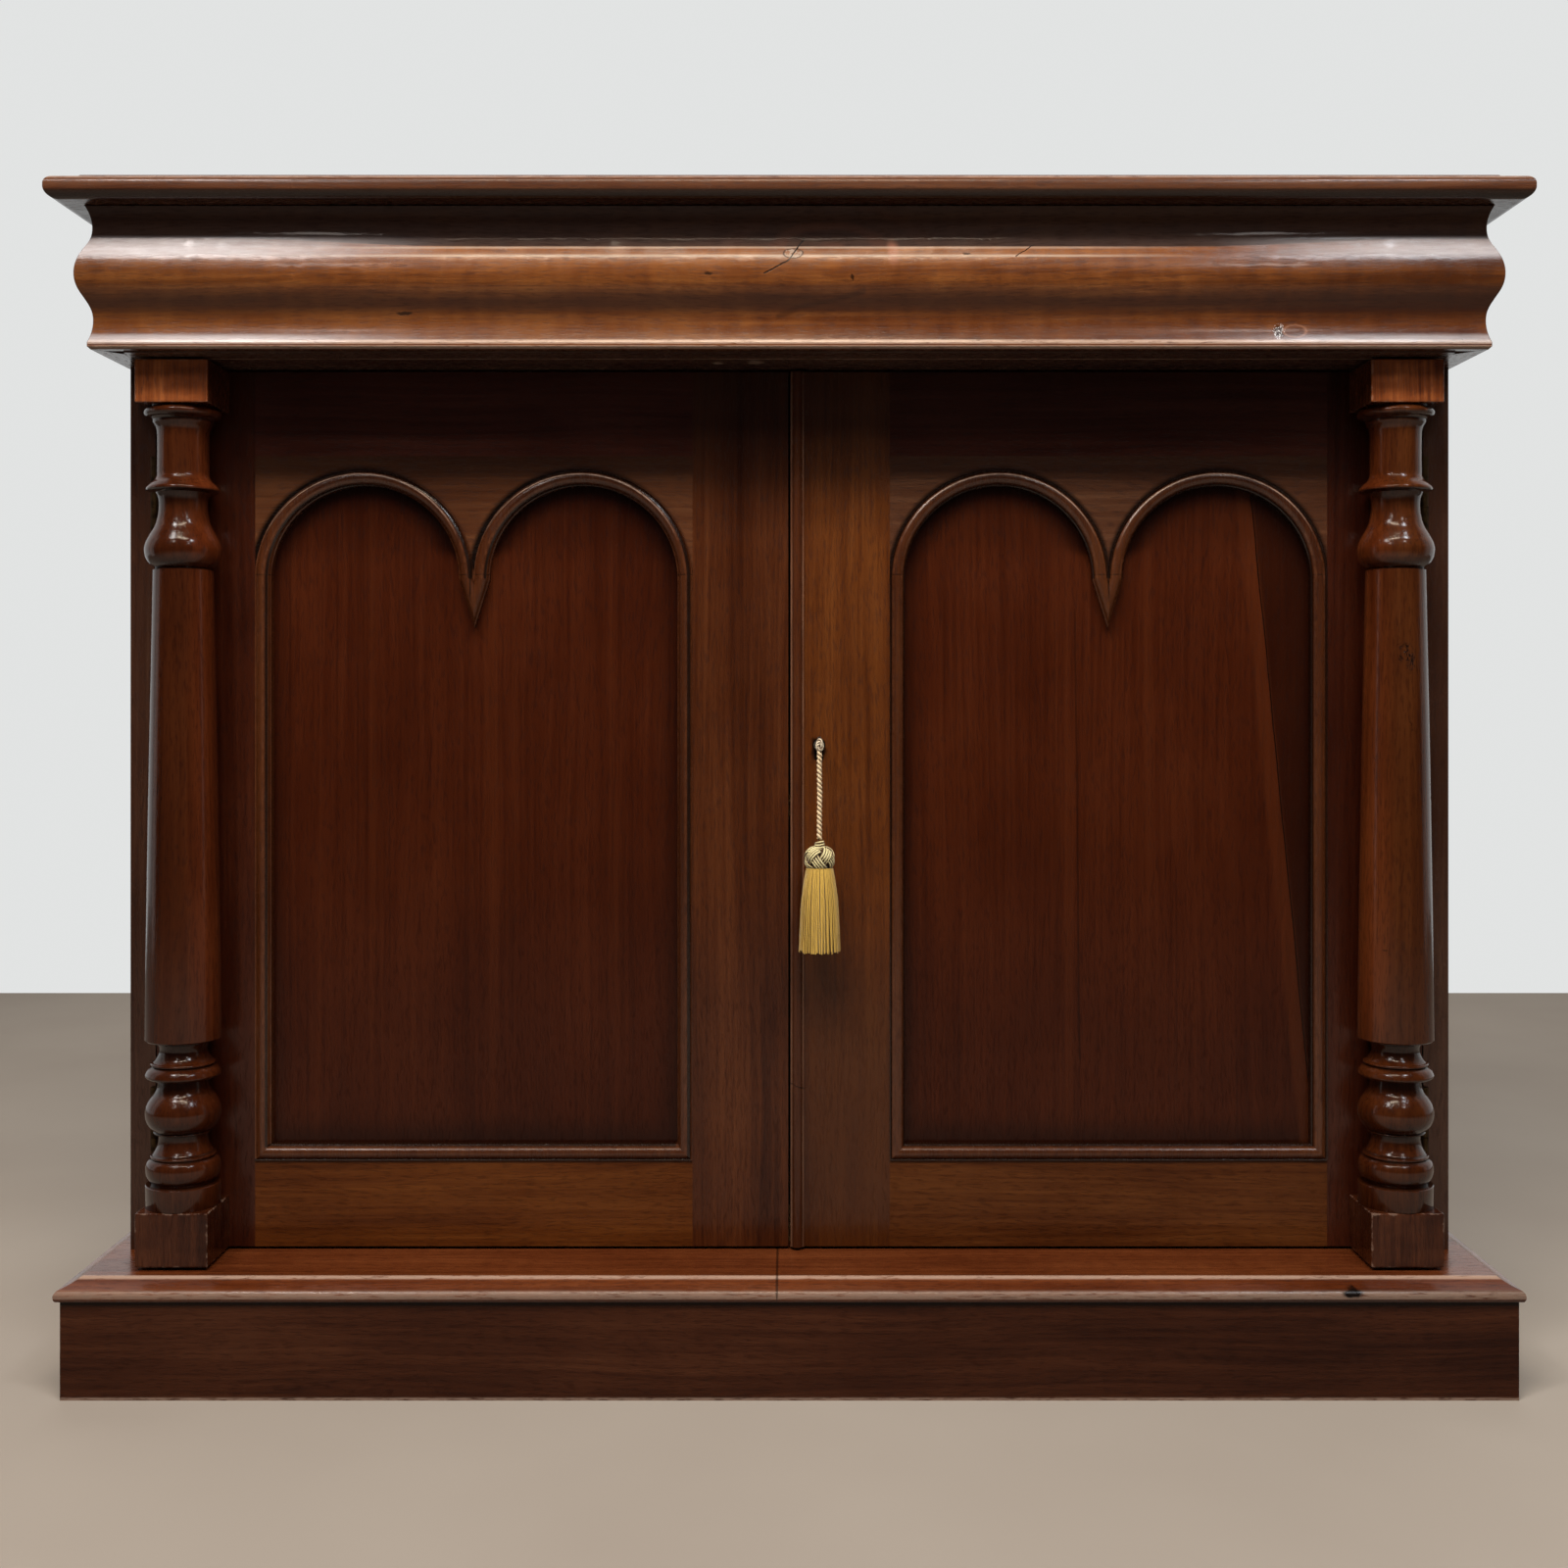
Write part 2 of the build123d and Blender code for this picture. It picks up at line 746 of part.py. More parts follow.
with BuildPart() as fixed_hinge_leaves:
    for height in hinge_heights:
        hinge_leaf(height, fixed_plate, fixed_knuckles, pin_radius + pin_fit)
        with Locations((pin_x, pin_y, height)):
            Cylinder(pin_radius, hinge_length)
    mirror(about=Plane.YZ)
save(fixed_hinge_leaves, "fixed_hinges")

with BuildPart() as door_leaves:
    for height in hinge_heights:
        hinge_leaf(height, door_plate, (middle_knuckle,), pin_radius + pin_running)
save(door_leaves, "right_door_leaves")
save(mirrored(door_leaves), "left_door_leaves")

# =====================================================================================
# Turned columns and their blocks, planted on the hinge stiles
# =====================================================================================

# Heights of the members above the foot block.
torus_z = disc_height + torus_quirk
low_ring_z = torus_z + torus_height
low_neck_z = low_ring_z + low_ring_height
bulb_ring_z = low_neck_z + low_neck_height
low_bulb_z = bulb_ring_z + bulb_ring_height
knife_ring_z = low_bulb_z + low_bulb_height
scotia_ring_z = knife_ring_z + knife_ring_height + scotia_quirk
scotia_z = scotia_ring_z + scotia_ring_height
shaft_foot_z = scotia_z + scotia_height
shaft_z = shaft_foot_z + shaft_foot_slope
column_length = head_block_bottom - foot_block_top


def foot_members():
    """The turned foot, from the disc on the block to the arris under the shaft."""
    torus_foot = (torus_foot_radius, torus_z)
    torus_head = (torus_head_radius, low_ring_z)
    neck_foot = (low_neck_foot_radius, low_neck_z + low_neck_rise)
    neck_waist = (low_neck_waist_radius, low_neck_z + low_neck_waist_rise)
    neck_head = (low_neck_head_radius, bulb_ring_z)
    bulb_head = (low_bulb_head_radius, knife_ring_z)
    knife_foot = (knife_ring_foot_radius, knife_ring_z + knife_ring_foot_rise)
    knife_head = (knife_ring_head_radius, knife_ring_z + knife_ring_height)
    scotia_foot = (scotia_foot_radius, scotia_z)
    scotia_head = (scotia_head_radius, shaft_foot_z)
    Polyline((0, 0), (disc_radius, 0), (disc_radius, disc_height), torus_foot)
    ThreePointArc(torus_foot, (torus_radius, torus_z + torus_crown_rise), torus_head)
    Polyline(torus_head, (low_ring_radius, low_ring_z), (low_ring_radius, low_neck_z), neck_foot)
    ThreePointArc(neck_foot, neck_waist, neck_head)
    Polyline(neck_head, (bulb_ring_radius, bulb_ring_z), (bulb_ring_radius, low_bulb_z))
    Spline(
        (bulb_ring_radius, low_bulb_z),
        (low_bulb_radius, low_bulb_z + low_bulb_rise),
        (low_bulb_shoulder_radius, low_bulb_z + low_bulb_shoulder_rise),
        (low_bulb_slope_radius, low_bulb_z + low_bulb_slope_rise),
        bulb_head,
        tangents=((1, 0.6), (0, 1)),
    )
    Line(bulb_head, knife_foot)
    Spline(
        knife_foot,
        (knife_ring_radius, knife_ring_z + knife_ring_rise),
        (knife_ring_shoulder_radius, knife_ring_z + knife_ring_shoulder_rise),
        knife_head,
    )
    Polyline(
        knife_head,
        (scotia_foot_radius, scotia_ring_z),
        (scotia_ring_radius, scotia_ring_z),
        (scotia_ring_radius, scotia_z),
        scotia_foot,
    )
    ThreePointArc(scotia_foot, (scotia_radius, scotia_z + scotia_rise), scotia_head)
    Line(scotia_head, (shaft_foot_radius, shaft_z))


def head_members():
    """The turned head, from the scribed line above the shaft to the head block."""
    scribe_z = column_length - scribe_drop
    scribe_foot = (shaft_head_radius, scribe_z - scribe_half_width)
    bulb_foot = (shaft_head_radius, scribe_z + scribe_half_width)
    waist_head = (waist_head_radius, column_length - knife_drop - knife_edge - knife_slope)
    knife = (knife_radius, column_length - knife_drop)
    neck_foot = (high_neck_radius, column_length - high_neck_foot_drop)
    neck_head = (high_neck_radius, column_length - high_neck_top_drop)
    flare_head = (rim_fillet_radius, column_length - flare_drop)
    rim_foot = (rim_foot_radius, column_length - rim_foot_drop)
    rim_head = (rim_shoulder_radius, column_length - rim_top_drop)
    Line((shaft_foot_radius, shaft_z), scribe_foot)
    Polyline(scribe_foot, (shaft_head_radius - scribe_depth, scribe_z), bulb_foot)
    Spline(
        bulb_foot,
        (high_bulb_radius, column_length - high_bulb_drop),
        (high_bulb_head_radius, column_length - high_bulb_head_drop),
        (high_bulb_neck_radius, column_length - high_bulb_neck_drop),
        (waist_radius, column_length - waist_drop),
        waist_head,
        tangents=((1, 1), (1, 1)),
    )
    Polyline(waist_head, (knife_radius, knife[1] - knife_edge), knife)
    ThreePointArc(knife, (hollow_radius, column_length - hollow_drop), neck_foot)
    Line(neck_foot, neck_head)
    ThreePointArc(neck_head, (flare_radius, column_length - flare_middle_drop), flare_head)
    Polyline(flare_head, (rim_fillet_radius, column_length - rim_fillet_drop), rim_foot)
    ThreePointArc(rim_foot, (rim_radius, column_length - rim_drop), rim_head)
    Polyline(rim_head, (rim_top_radius, column_length), (0, column_length), (0, 0))


with BuildPart() as column:
    with BuildSketch(Plane((column_x, column_y, foot_block_top), x_dir=(1, 0, 0), z_dir=(0, -1, 0))):
        with BuildLine():
            foot_members()
            head_members()
        make_face()
    revolve(axis=Axis((column_x, column_y, 0), (0, 0, 1)))
    split(bisect_by=Plane.XZ.offset(-door_face), keep=Keep.TOP)

with BuildPart() as column_blocks:
    block_x = span(column_x, block_width)
    block_y = (door_face - block_depth, door_face)
    board(block_x, block_y, (door_bottom, foot_block_top))
    board(block_x, block_y, (head_block_bottom, door_top))
    fillet(edges_ahead(column_blocks.edges(), door_face - block_round), block_round)

save(column, "right_column")
save(mirrored(column), "left_column")
save(column_blocks, "right_column_blocks")
save(mirrored(column_blocks), "left_column_blocks")

# =====================================================================================
# Lock and key. The key's axis runs along Y; its bit hangs down at rest.
# =====================================================================================

right_edge = right_meeting_gap
lock_front = door_back - lock_depth
bit_front = lock_front + lock_wall + bit_gap
bit_y = (bit_front, bit_front + bit_width)
bolt_y = span(bit_front + bit_width / 2, bolt_thickness)
bolt_z = (key_height + bolt_rise, key_height + bolt_rise + bolt_height)
bolt_tip = right_edge + bolt_set_back


def keyhole(extra):
    """Outline of the keyhole, grown by a margin, round the key's axis."""
    with BuildSketch() as outline:
        with Locations((key_x, key_height)):
            Circle(keyhole_radius + extra)
        with Locations((key_x, key_height - (keyhole_drop + extra) / 2)):
            Rectangle(keyhole_slot + 2 * extra, keyhole_drop + extra)
    return outline.sketch


def cut_keyhole(back, depth, extra=0.0):
    """Cut the keyhole forwards from a plane that faces the back."""
    with BuildSketch(Plane.XZ.offset(-back)) as opening:
        add(keyhole(extra))
    extrude(opening.sketch, amount=depth, mode=Mode.SUBTRACT)


with BuildPart() as escutcheon:
    with BuildSketch(Plane.XZ.offset(-door_face - escutcheon_depth)):
        add(keyhole(escutcheon_wall))
        add(keyhole(0), mode=Mode.SUBTRACT)
    extrude(amount=escutcheon_depth + escutcheon_proud)
    chamfer(escutcheon.faces().sort_by(Axis.Y)[0].edges(), escutcheon_proud / 2)
save(escutcheon, "escutcheon")

bow_foot = door_face - bow_standoff
bow_y = bow_foot - bow_length / 2
hitch_y = bow_y - bow_length / 2 - hitch_offset
shank_end = door_back - lock_wall - key_end_gap
with BuildPart() as key:
    with BuildSketch(Plane.YZ.offset(key_x)):
        with Locations((bow_y, key_height)):
            Ellipse(bow_length / 2, bow_height / 2)
            Ellipse(bow_length / 2 - bow_rim, bow_height / 2 - bow_rim, mode=Mode.SUBTRACT)
    extrude(amount=bow_thickness / 2, both=True)
    fillet(key.edges(), bow_round)
    with BuildSketch(Plane.XZ.offset(-shank_end)):
        with Locations((key_x, key_height)):
            Circle(shank_radius)
    extrude(amount=shank_end - bow_foot + bow_rim / 2)
    with BuildSketch(Plane.XZ.offset(-(door_face - collar_length))):
        with Locations((key_x, key_height)):
            Circle(collar_radius)
    extrude(amount=collar_length)
    board(span(key_x, bit_thickness), bit_y, (key_height - bit_reach, key_height))
save(key, "key")

with BuildPart() as tassel_hitch:
    with Locations((key_x, hitch_y, key_height)):
        Sphere(hitch_radius)
    add(key.part, mode=Mode.SUBTRACT)
save(tassel_hitch, "tassel_hitch")

lock_x = (right_edge, right_edge + lock_width)
lock_z = (key_height - lock_below, key_height + lock_above)
slot_y = (bolt_y[0] - bolt_slide_gap, bolt_y[1] + bolt_slide_gap)
slot_z = (bolt_z[0] - bolt_slide_gap, bolt_z[1] + bolt_slide_gap)
with BuildPart() as lock_case:
    board(lock_x, (lock_front, door_back), lock_z)
    board(
        (lock_x[0] + lock_wall, lock_x[1] - lock_wall),
        (lock_front + lock_wall, door_back - lock_wall),
        (lock_z[0] + lock_wall, slot_z[1]),
        Mode.SUBTRACT,
    )
    board((lock_x[0], lock_x[0] + lock_wall), slot_y, slot_z, Mode.SUBTRACT)
    guide_start = key_x + bit_reach + 2 * lock_wall
    board((guide_start, lock_x[1]), (lock_front, door_back), (slot_z[0] - 2 * lock_wall, slot_z[0]))
    cut_keyhole(lock_front + lock_wall, lock_wall)
save(lock_case, "lock_case")

with BuildPart() as lock_bolt:
    board((bolt_tip, bolt_tip + bolt_length), bolt_y, bolt_z)
    notch_x = (key_x + notch_start, key_x + notch_start + notch_width)
    board(notch_x, bolt_y, (bolt_z[0], bolt_z[0] + notch_depth), Mode.SUBTRACT)
save(lock_bolt, "lock_bolt")

left_edge = -left_meeting_gap
strike_x = (left_edge - strike_thickness, left_edge)
strike_y = span(sum(bolt_y) / 2, strike_width)
strike_z = span(sum(bolt_z) / 2, strike_height)
with BuildPart() as lock_strike:
    board(strike_x, strike_y, strike_z)
    board(strike_x, slot_y, slot_z, Mode.SUBTRACT)
save(lock_strike, "lock_strike")

# =====================================================================================
# Doors: mortised frames, a twin-arched board, a fielded panel and its bead
# =====================================================================================

groove_y = (panel_face, panel_face + groove_width)
tenon_y = (panel_face, panel_face + tenon_thickness)
half_opening = panel_opening_width / 2
astragal_x = (right_edge, right_edge + astragal_width)
astragal_bed = door_face + astragal_width / 2

# Section of the bead. Local x runs inwards from the frame, local y out from the panel.
with BuildSketch() as bead_section:
    with BuildLine():
        quirk = (bead_arris_width + bead_quirk_depth, bead_arris - bead_quirk_depth)
        step = (bead_width - bead_step_width, bead_step + bead_step_width)
        Polyline((0, 0), (0, bead_arris), (bead_arris_width, bead_arris), quirk)
        ThreePointArc(quirk, (bead_crown_inset, bead_crown), step)
        Polyline(step, (bead_width, bead_step), (bead_width, 0), (0, 0))
    make_face()


def door_bead(middle):
    """The bead round one panel: sill, legs, two arches and the V between them."""
    left = middle - half_opening
    foot = (left, panel_face, panel_bottom)
    far_foot = (middle + half_opening, panel_face, panel_bottom)
    shoulder_plane = Plane((left, panel_face, springing), x_dir=(1, 0, 0), z_dir=(0, 0, -1))
    centre_plane = Plane.YZ.offset(middle)
    with BuildPart() as sill:
        with BuildSketch(Plane(foot, x_dir=(0, 0, 1), z_dir=(1, 0, 0))):
            add(bead_section.sketch)
        extrude(amount=panel_opening_width)
        split(bisect_by=Plane(foot, z_dir=(1, 0, -1)), keep=Keep.TOP)
        split(bisect_by=Plane(far_foot, z_dir=(-1, 0, -1)), keep=Keep.TOP)
    with BuildPart() as leg:
        with BuildSketch(shoulder_plane):
            add(bead_section.sketch)
        extrude(amount=springing - panel_bottom)
        split(bisect_by=Plane(foot, z_dir=(-1, 0, 1)), keep=Keep.TOP)
    with BuildPart() as arch:
        with BuildSketch(shoulder_plane):
            add(bead_section.sketch)
        revolve(axis=Axis((left + arch_radius, 0, springing), (0, 1, 0)), revolution_arc=180)
    with BuildPart() as pendant:
        with BuildSketch(Plane((middle, panel_face, springing), x_dir=(-1, 0, 0), z_dir=(0, 0, 1))):
            add(bead_section.sketch)
        lean = Vector(bead_width, 0, -pendant_drop)
        extrude(amount=lean.length, dir=lean.normalized())
        split(bisect_by=centre_plane, keep=Keep.BOTTOM)
    with BuildPart() as bead:
        add(sill.part)
        for piece in (leg, arch, pendant):
            add(piece.part)
            mirror(piece.part, about=centre_plane)
    return bead


def door_rail(side, low, high, inner, outer, groove_z):
    """A rail with a tenon at each end and the panel's groove along one edge."""
    with BuildPart() as rail:
        board((side * inner, side * outer), (door_face, door_back), (low, high))
        board(
            (side * (inner - tenon_length), side * (outer + tenon_length)),
            tenon_y,
            (low + tenon_shoulder, high - tenon_shoulder),
        )
        board((side * inner, side * outer), groove_y, groove_z, Mode.SUBTRACT)
    return rail


def build_door(name, side, meeting_edge, meeting_stile_width):
    """Build one door; side is +1 on the right and -1 on the left."""
    inner = meeting_edge + meeting_stile_width
    outer = inner + panel_opening_width
    middle = side * (inner + outer) / 2
    groove_low = (panel_bottom - groove_depth, panel_bottom)
    groove_high = (arch_board_top, arch_board_top + groove_depth)
    groove_z = (groove_low[0], groove_high[1])
    stile_z = (door_bottom, door_top)

    bottom_rail = door_rail(side, door_bottom, panel_bottom, inner, outer, groove_low)
    top_rail = door_rail(side, arch_board_top, door_top, inner, outer, groove_high)
    save(bottom_rail, f"{name}_bottom_rail")
    save(top_rail, f"{name}_top_rail")

    with BuildPart() as hinge_stile:
        board((side * outer, side * hinge_edge), (door_face, door_back), stile_z)
        board((side * outer, side * (outer + groove_depth)), groove_y, groove_z, Mode.SUBTRACT)
        add([bottom_rail.part, top_rail.part], mode=Mode.SUBTRACT)
        hinge_beds(side, hinge_edge, -leaf_thickness)
    save(hinge_stile, f"{name}_hinge_stile")

    with BuildPart() as meeting_stile:
        board((side * meeting_edge, side * inner), (door_face, door_back), stile_z)
        board((side * inner, side * (inner - groove_depth)), groove_y, groove_z, Mode.SUBTRACT)
        add([bottom_rail.part, top_rail.part], mode=Mode.SUBTRACT)
        if side > 0:
            board(astragal_x, (door_face, astragal_bed), stile_z, Mode.SUBTRACT)
            board(lock_x, (lock_front, door_back), lock_z, Mode.SUBTRACT)
            cut_keyhole(lock_front, lock_front - door_face)
            cut_keyhole(door_face + escutcheon_depth, escutcheon_depth, escutcheon_wall)
        else:
            board(strike_x, strike_y, strike_z, Mode.SUBTRACT)
            board((left_edge - bolt_throw, left_edge), slot_y, slot_z, Mode.SUBTRACT)
    save(meeting_stile, f"{name}_meeting_stile")

    reach = groove_depth - fit_gap
    with BuildPart() as panel:
        board(
            (side * (inner - reach), side * (outer + reach)),
            (panel_face, panel_face + panel_thickness),
            (panel_bottom - reach, arch_board_top + reach),
        )
    save(panel, f"{name}_panel")

    with BuildPart() as arch_board:
        with BuildSketch(Plane.XZ.offset(-panel_face)):
            low = springing + arch_board_trim
            with Locations((middle, (low + arch_board_top) / 2)):
                Rectangle(panel_opening_width, arch_board_top - low)
            with Locations((middle - arch_radius, springing), (middle + arch_radius, springing)):
                Circle(arch_radius, mode=Mode.SUBTRACT)
        extrude(amount=panel_recess)
    save(arch_board, f"{name}_arch_board")

    save(door_bead(middle), f"{name}_bead")


build_door("left_door", -1, left_meeting_gap, left_meeting_stile)
build_door("right_door", 1, right_meeting_gap, right_meeting_stile)

# The astragal covers the front corner of the right door's meeting edge.
with BuildPart() as astragal:
    with BuildSketch(Plane.XY.offset(door_bottom)):
        with BuildLine():
            start, end = astragal_x
            shoulder_y = door_face - astragal_shoulder
            round_start = (start + astragal_shoulder, shoulder_y)
            round_end = (end - astragal_shoulder, shoulder_y)
            crown = ((start + end) / 2, door_face - astragal_projection)
            Polyline((start, astragal_bed), (start, shoulder_y), round_start)
            ThreePointArc(round_start, crown, round_end)
            Polyline(round_end, (end, shoulder_y), (end, astragal_bed), (start, astragal_bed))
        make_face()
    extrude(amount=door_top - door_bottom)
save(astragal, "astragal")

# =====================================================================================
# Slide bolt on the inside of the left door
# =====================================================================================

slide_bolt_top = door_top - 2 * fit_gap
plate_top = slide_bolt_top - bolt_guide_height
plate_z = (plate_top - bolt_plate_height, plate_top)
guide_half = slide_bolt_radius + slide_bolt_gap + bolt_guide_wall
guide_y = (door_back, bolt_axis_y + guide_half)
with BuildPart() as bolt_case:
    board(span(slide_bolt_x, bolt_plate_width), (door_back, door_back + bolt_plate_thickness), plate_z)
    for guide_foot in (plate_z[0], plate_z[1] - bolt_guide_height):
        board(span(slide_bolt_x, 2 * guide_half), guide_y, (guide_foot, guide_foot + bolt_guide_height))
    with Locations((slide_bolt_x, bolt_axis_y, sum(plate_z) / 2)):
        Cylinder(slide_bolt_radius + slide_bolt_gap, bolt_plate_height, mode=Mode.SUBTRACT)
save(bolt_case, "slide_bolt_case")

with BuildPart() as slide_bolt:
    with Locations((slide_bolt_x, bolt_axis_y, slide_bolt_top - slide_bolt_length / 2)):
        Cylinder(slide_bolt_radius, slide_bolt_length)
    knob_height = sum(plate_z) / 2 - slide_bolt_travel / 2
    with BuildSketch(Plane.XZ.offset(-bolt_axis_y)):
        with Locations((slide_bolt_x, knob_height)):
            Circle(slide_bolt_radius)
    extrude(amount=-bolt_knob_length)
save(slide_bolt, "slide_bolt")

# =====================================================================================
# Tassel, hanging from the key's bow
# =====================================================================================

cord_top = key_height - hitch_radius - hitch_gap
cord_foot = cord_top - cord_length
with BuildPart() as tassel_cord:
    with Locations((key_x, hitch_y, (key_height + cord_foot) / 2)):
        Cylinder(cord_radius, key_height - cord_foot)
    with Locations((key_x, hitch_y, key_height)):
        Sphere(hitch_radius + hitch_gap, mode=Mode.SUBTRACT)
save(tassel_cord, "tassel_cord")

knot_middle = cord_foot - tassel_collar_height - tassel_knot_height / 2
tassel_plane = Plane((key_x, hitch_y, knot_middle), x_dir=(1, 0, 0), z_dir=(0, -1, 0))
tassel_axis = Axis((key_x, hitch_y, 0), (0, 0, 1))
with BuildPart() as tassel_knot:
    with BuildSketch(tassel_plane):
        with BuildLine():
            half = tassel_knot_height / 2
            Polyline((tassel_knot_flat, half), (0, half), (0, -half), (tassel_knot_flat, -half))
            ThreePointArc((tassel_knot_flat, -half), (tassel_knot_radius, 0), (tassel_knot_flat, half))
        make_face()
    revolve(axis=tassel_axis)
    with Locations((key_x, hitch_y, cord_foot - tassel_collar_height / 2 - fit_gap)):
        Cylinder(tassel_collar_radius, tassel_collar_height + 2 * fit_gap)
save(tassel_knot, "tassel_knot")

with BuildPart() as tassel_skirt:
    skirt_top = -tassel_knot_height / 2
    skirt_neck = (skirt_neck_radius, skirt_top / 2)
    skirt_shoulder = (skirt_top_radius, skirt_top)
    skirt_waist = (skirt_waist_radius, skirt_top - skirt_waist_drop)
    skirt_foot = (skirt_bottom_radius, skirt_top - skirt_length)
    with BuildSketch(tassel_plane):
        with BuildLine():
            Polyline((0, skirt_top / 2), skirt_neck, skirt_shoulder)
            ThreePointArc(skirt_shoulder, skirt_waist, skirt_foot)
            Polyline(skirt_foot, (0, skirt_foot[1]), (0, skirt_top / 2))
        make_face()
    revolve(axis=tassel_axis)
    add(tassel_knot.part, mode=Mode.SUBTRACT)
save(tassel_skirt, "tassel_skirt")
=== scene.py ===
# %% [markdown]
# # A mahogany chiffonier with a tassel on its key
#
# A chiffonier is a low sideboard with a drawer over two doors. This one is solid
# mahogany under shellac polish: an ogee drawer front, twin-arched door panels, a turned
# column planted on each hinge stile and a moulded plinth. Its boards, hinges, lock and
# key come from the frame as real pieces that already move. This lesson gives them their
# finish, and turns, winds and twists the pieces that need a maker's hand.

# %% Load the frame
import json
import math
import random

import bmesh
import bpy
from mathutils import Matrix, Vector, noise


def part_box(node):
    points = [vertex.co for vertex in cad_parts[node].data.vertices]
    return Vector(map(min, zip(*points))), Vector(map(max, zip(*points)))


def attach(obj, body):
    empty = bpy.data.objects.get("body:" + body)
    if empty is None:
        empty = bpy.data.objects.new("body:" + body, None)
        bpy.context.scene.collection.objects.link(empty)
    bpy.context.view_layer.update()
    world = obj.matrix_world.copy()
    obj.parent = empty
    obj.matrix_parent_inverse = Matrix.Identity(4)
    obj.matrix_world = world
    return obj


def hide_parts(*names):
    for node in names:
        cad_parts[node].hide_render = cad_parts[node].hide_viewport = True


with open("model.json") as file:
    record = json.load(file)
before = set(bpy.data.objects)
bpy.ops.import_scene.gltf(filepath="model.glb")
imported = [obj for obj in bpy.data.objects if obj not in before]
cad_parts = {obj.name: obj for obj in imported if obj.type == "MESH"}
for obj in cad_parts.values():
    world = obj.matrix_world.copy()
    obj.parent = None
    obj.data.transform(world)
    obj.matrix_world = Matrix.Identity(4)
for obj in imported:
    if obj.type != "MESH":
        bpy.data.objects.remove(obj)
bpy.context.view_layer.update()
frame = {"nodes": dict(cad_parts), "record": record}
nodes = frame["nodes"]
mm = 0.001
print("boards and fittings:", len(nodes))

# %% [markdown]
# ## The camera
#
# The piece is seen square on, from the height of its own waist. A tilted camera would
# make the stiles lean together, so the camera stays level, and a small lens shift moves
# the picture down instead, as an architect's view camera does.

# %% Set up the camera
camera_data = bpy.data.cameras.new("camera")
camera_data.sensor_width = 36.0
camera_data.lens = 40.5
camera_data.shift_x = -0.0035
camera_data.shift_y = -0.053
camera = bpy.data.objects.new("camera", camera_data)
camera.location = (0.0, -1.5325, 0.527)
camera.rotation_euler = (math.radians(90), 0, 0)
bpy.context.scene.collection.objects.link(camera)
bpy.context.scene.camera = camera
print("lens", round(camera_data.lens, 1), "mm")

# %% [markdown]
# ## Turning a bmesh into a piece
#
# Every new piece ends the same way: its bmesh becomes a mesh at the origin, and it rides
# on the body that carries it. One short helper does that, so no piece is ever left behind
# when a door swings. A piece of thread also keeps, at every vertex, how straight outwards
# it looks. Its finish reads that value, for a painted highlight on the crests of the
# threads and painted shade between them.


# %% A helper that finishes a piece
def make_piece(name, form, body, smooth=True, core=None):
    """Turn a bmesh into an object that rides on a body.

    Thread has a core too, a function that gives the inner point that a place looks away from.
    """
    mesh = bpy.data.meshes.new(name)
    form.to_mesh(mesh)
    form.free()
    for face in mesh.polygons:
        face.use_smooth = smooth
    # For painted light on thread: the crown value is 1 where the surface faces straight out from the core, 0
    # where it turns inwards.
    if core:
        crown = mesh.attributes.new("crown", "FLOAT", "POINT")
        for vertex, place in zip(mesh.vertices, crown.data):
            place.value = max(0.0, vertex.normal.dot((vertex.co - core(vertex.co)).normalized()))
    piece = bpy.data.objects.new(name, mesh)
    bpy.context.scene.collection.objects.link(piece)
    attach(piece, body)
    print(name, "has", len(mesh.polygons), "faces")
    return piece


# %% [markdown]
# ## The key's cord
#
# A tassel hangs from the bow of the key, so that the key isn't lost. Its cord is two
# strands of rayon twisted together, 68.5 mm from the hitch on the bow to the neck of the
# knot. It hangs limp under the tassel's weight, nearly straight. The route is one smooth
# NURBS line, and both strands are wound round it.

# %% Draw the cord's route
cord_exit = (0.0235, -0.1535, 0.4875)
route_points = [
    cord_exit,
    (0.0234, -0.1535, 0.4700),
    (0.0237, -0.1534, 0.4520),
    (0.0234, -0.1535, 0.4350),
    (0.0235, -0.1535, 0.4190),
]
route = bpy.data.curves.new("cord_route", "CURVE")
route.dimensions = "3D"
spline = route.splines.new("NURBS")
spline.points.add(len(route_points) - 1)
for point, place in zip(spline.points, route_points):
    point.co = (*place, 1.0)
spline.order_u = 3
spline.use_endpoint_u = True
route_holder = bpy.data.objects.new("cord_route", route)
route_mesh = bpy.data.meshes.new_from_object(route_holder)
cord_path = [vertex.co.copy() for vertex in route_mesh.vertices]
print("route points read:", len(cord_path))

# %% [markdown]
# A thread is a line with a round section. A curve with a bevel depth sweeps that section
# along any line of points, and its mesh is then added to the piece's bmesh. The points are
# spaced evenly first, so that a twist keeps the same pitch all the way.


# %% Helpers for thread
def spread(points, count):
    """Evenly spaced places along a line of points."""
    ways = [0.0]
    for here, there in zip(points, points[1:]):
        ways.append(ways[-1] + (there - here).length)
    places = []
    leg = 0
    for number in range(count):
        way = ways[-1] * number / (count - 1)
        while leg < len(points) - 2 and ways[leg + 1] < way:
            leg += 1
        part = (way - ways[leg]) / (ways[leg + 1] - ways[leg])
        places.append(points[leg].lerp(points[leg + 1], part))
    return places


def mesh_of(curve):
    """The mesh of a curve that is in no object yet."""
    holder = bpy.data.objects.new(curve.name, curve)
    mesh = bpy.data.meshes.new_from_object(holder)
    bpy.data.objects.remove(holder)
    return mesh


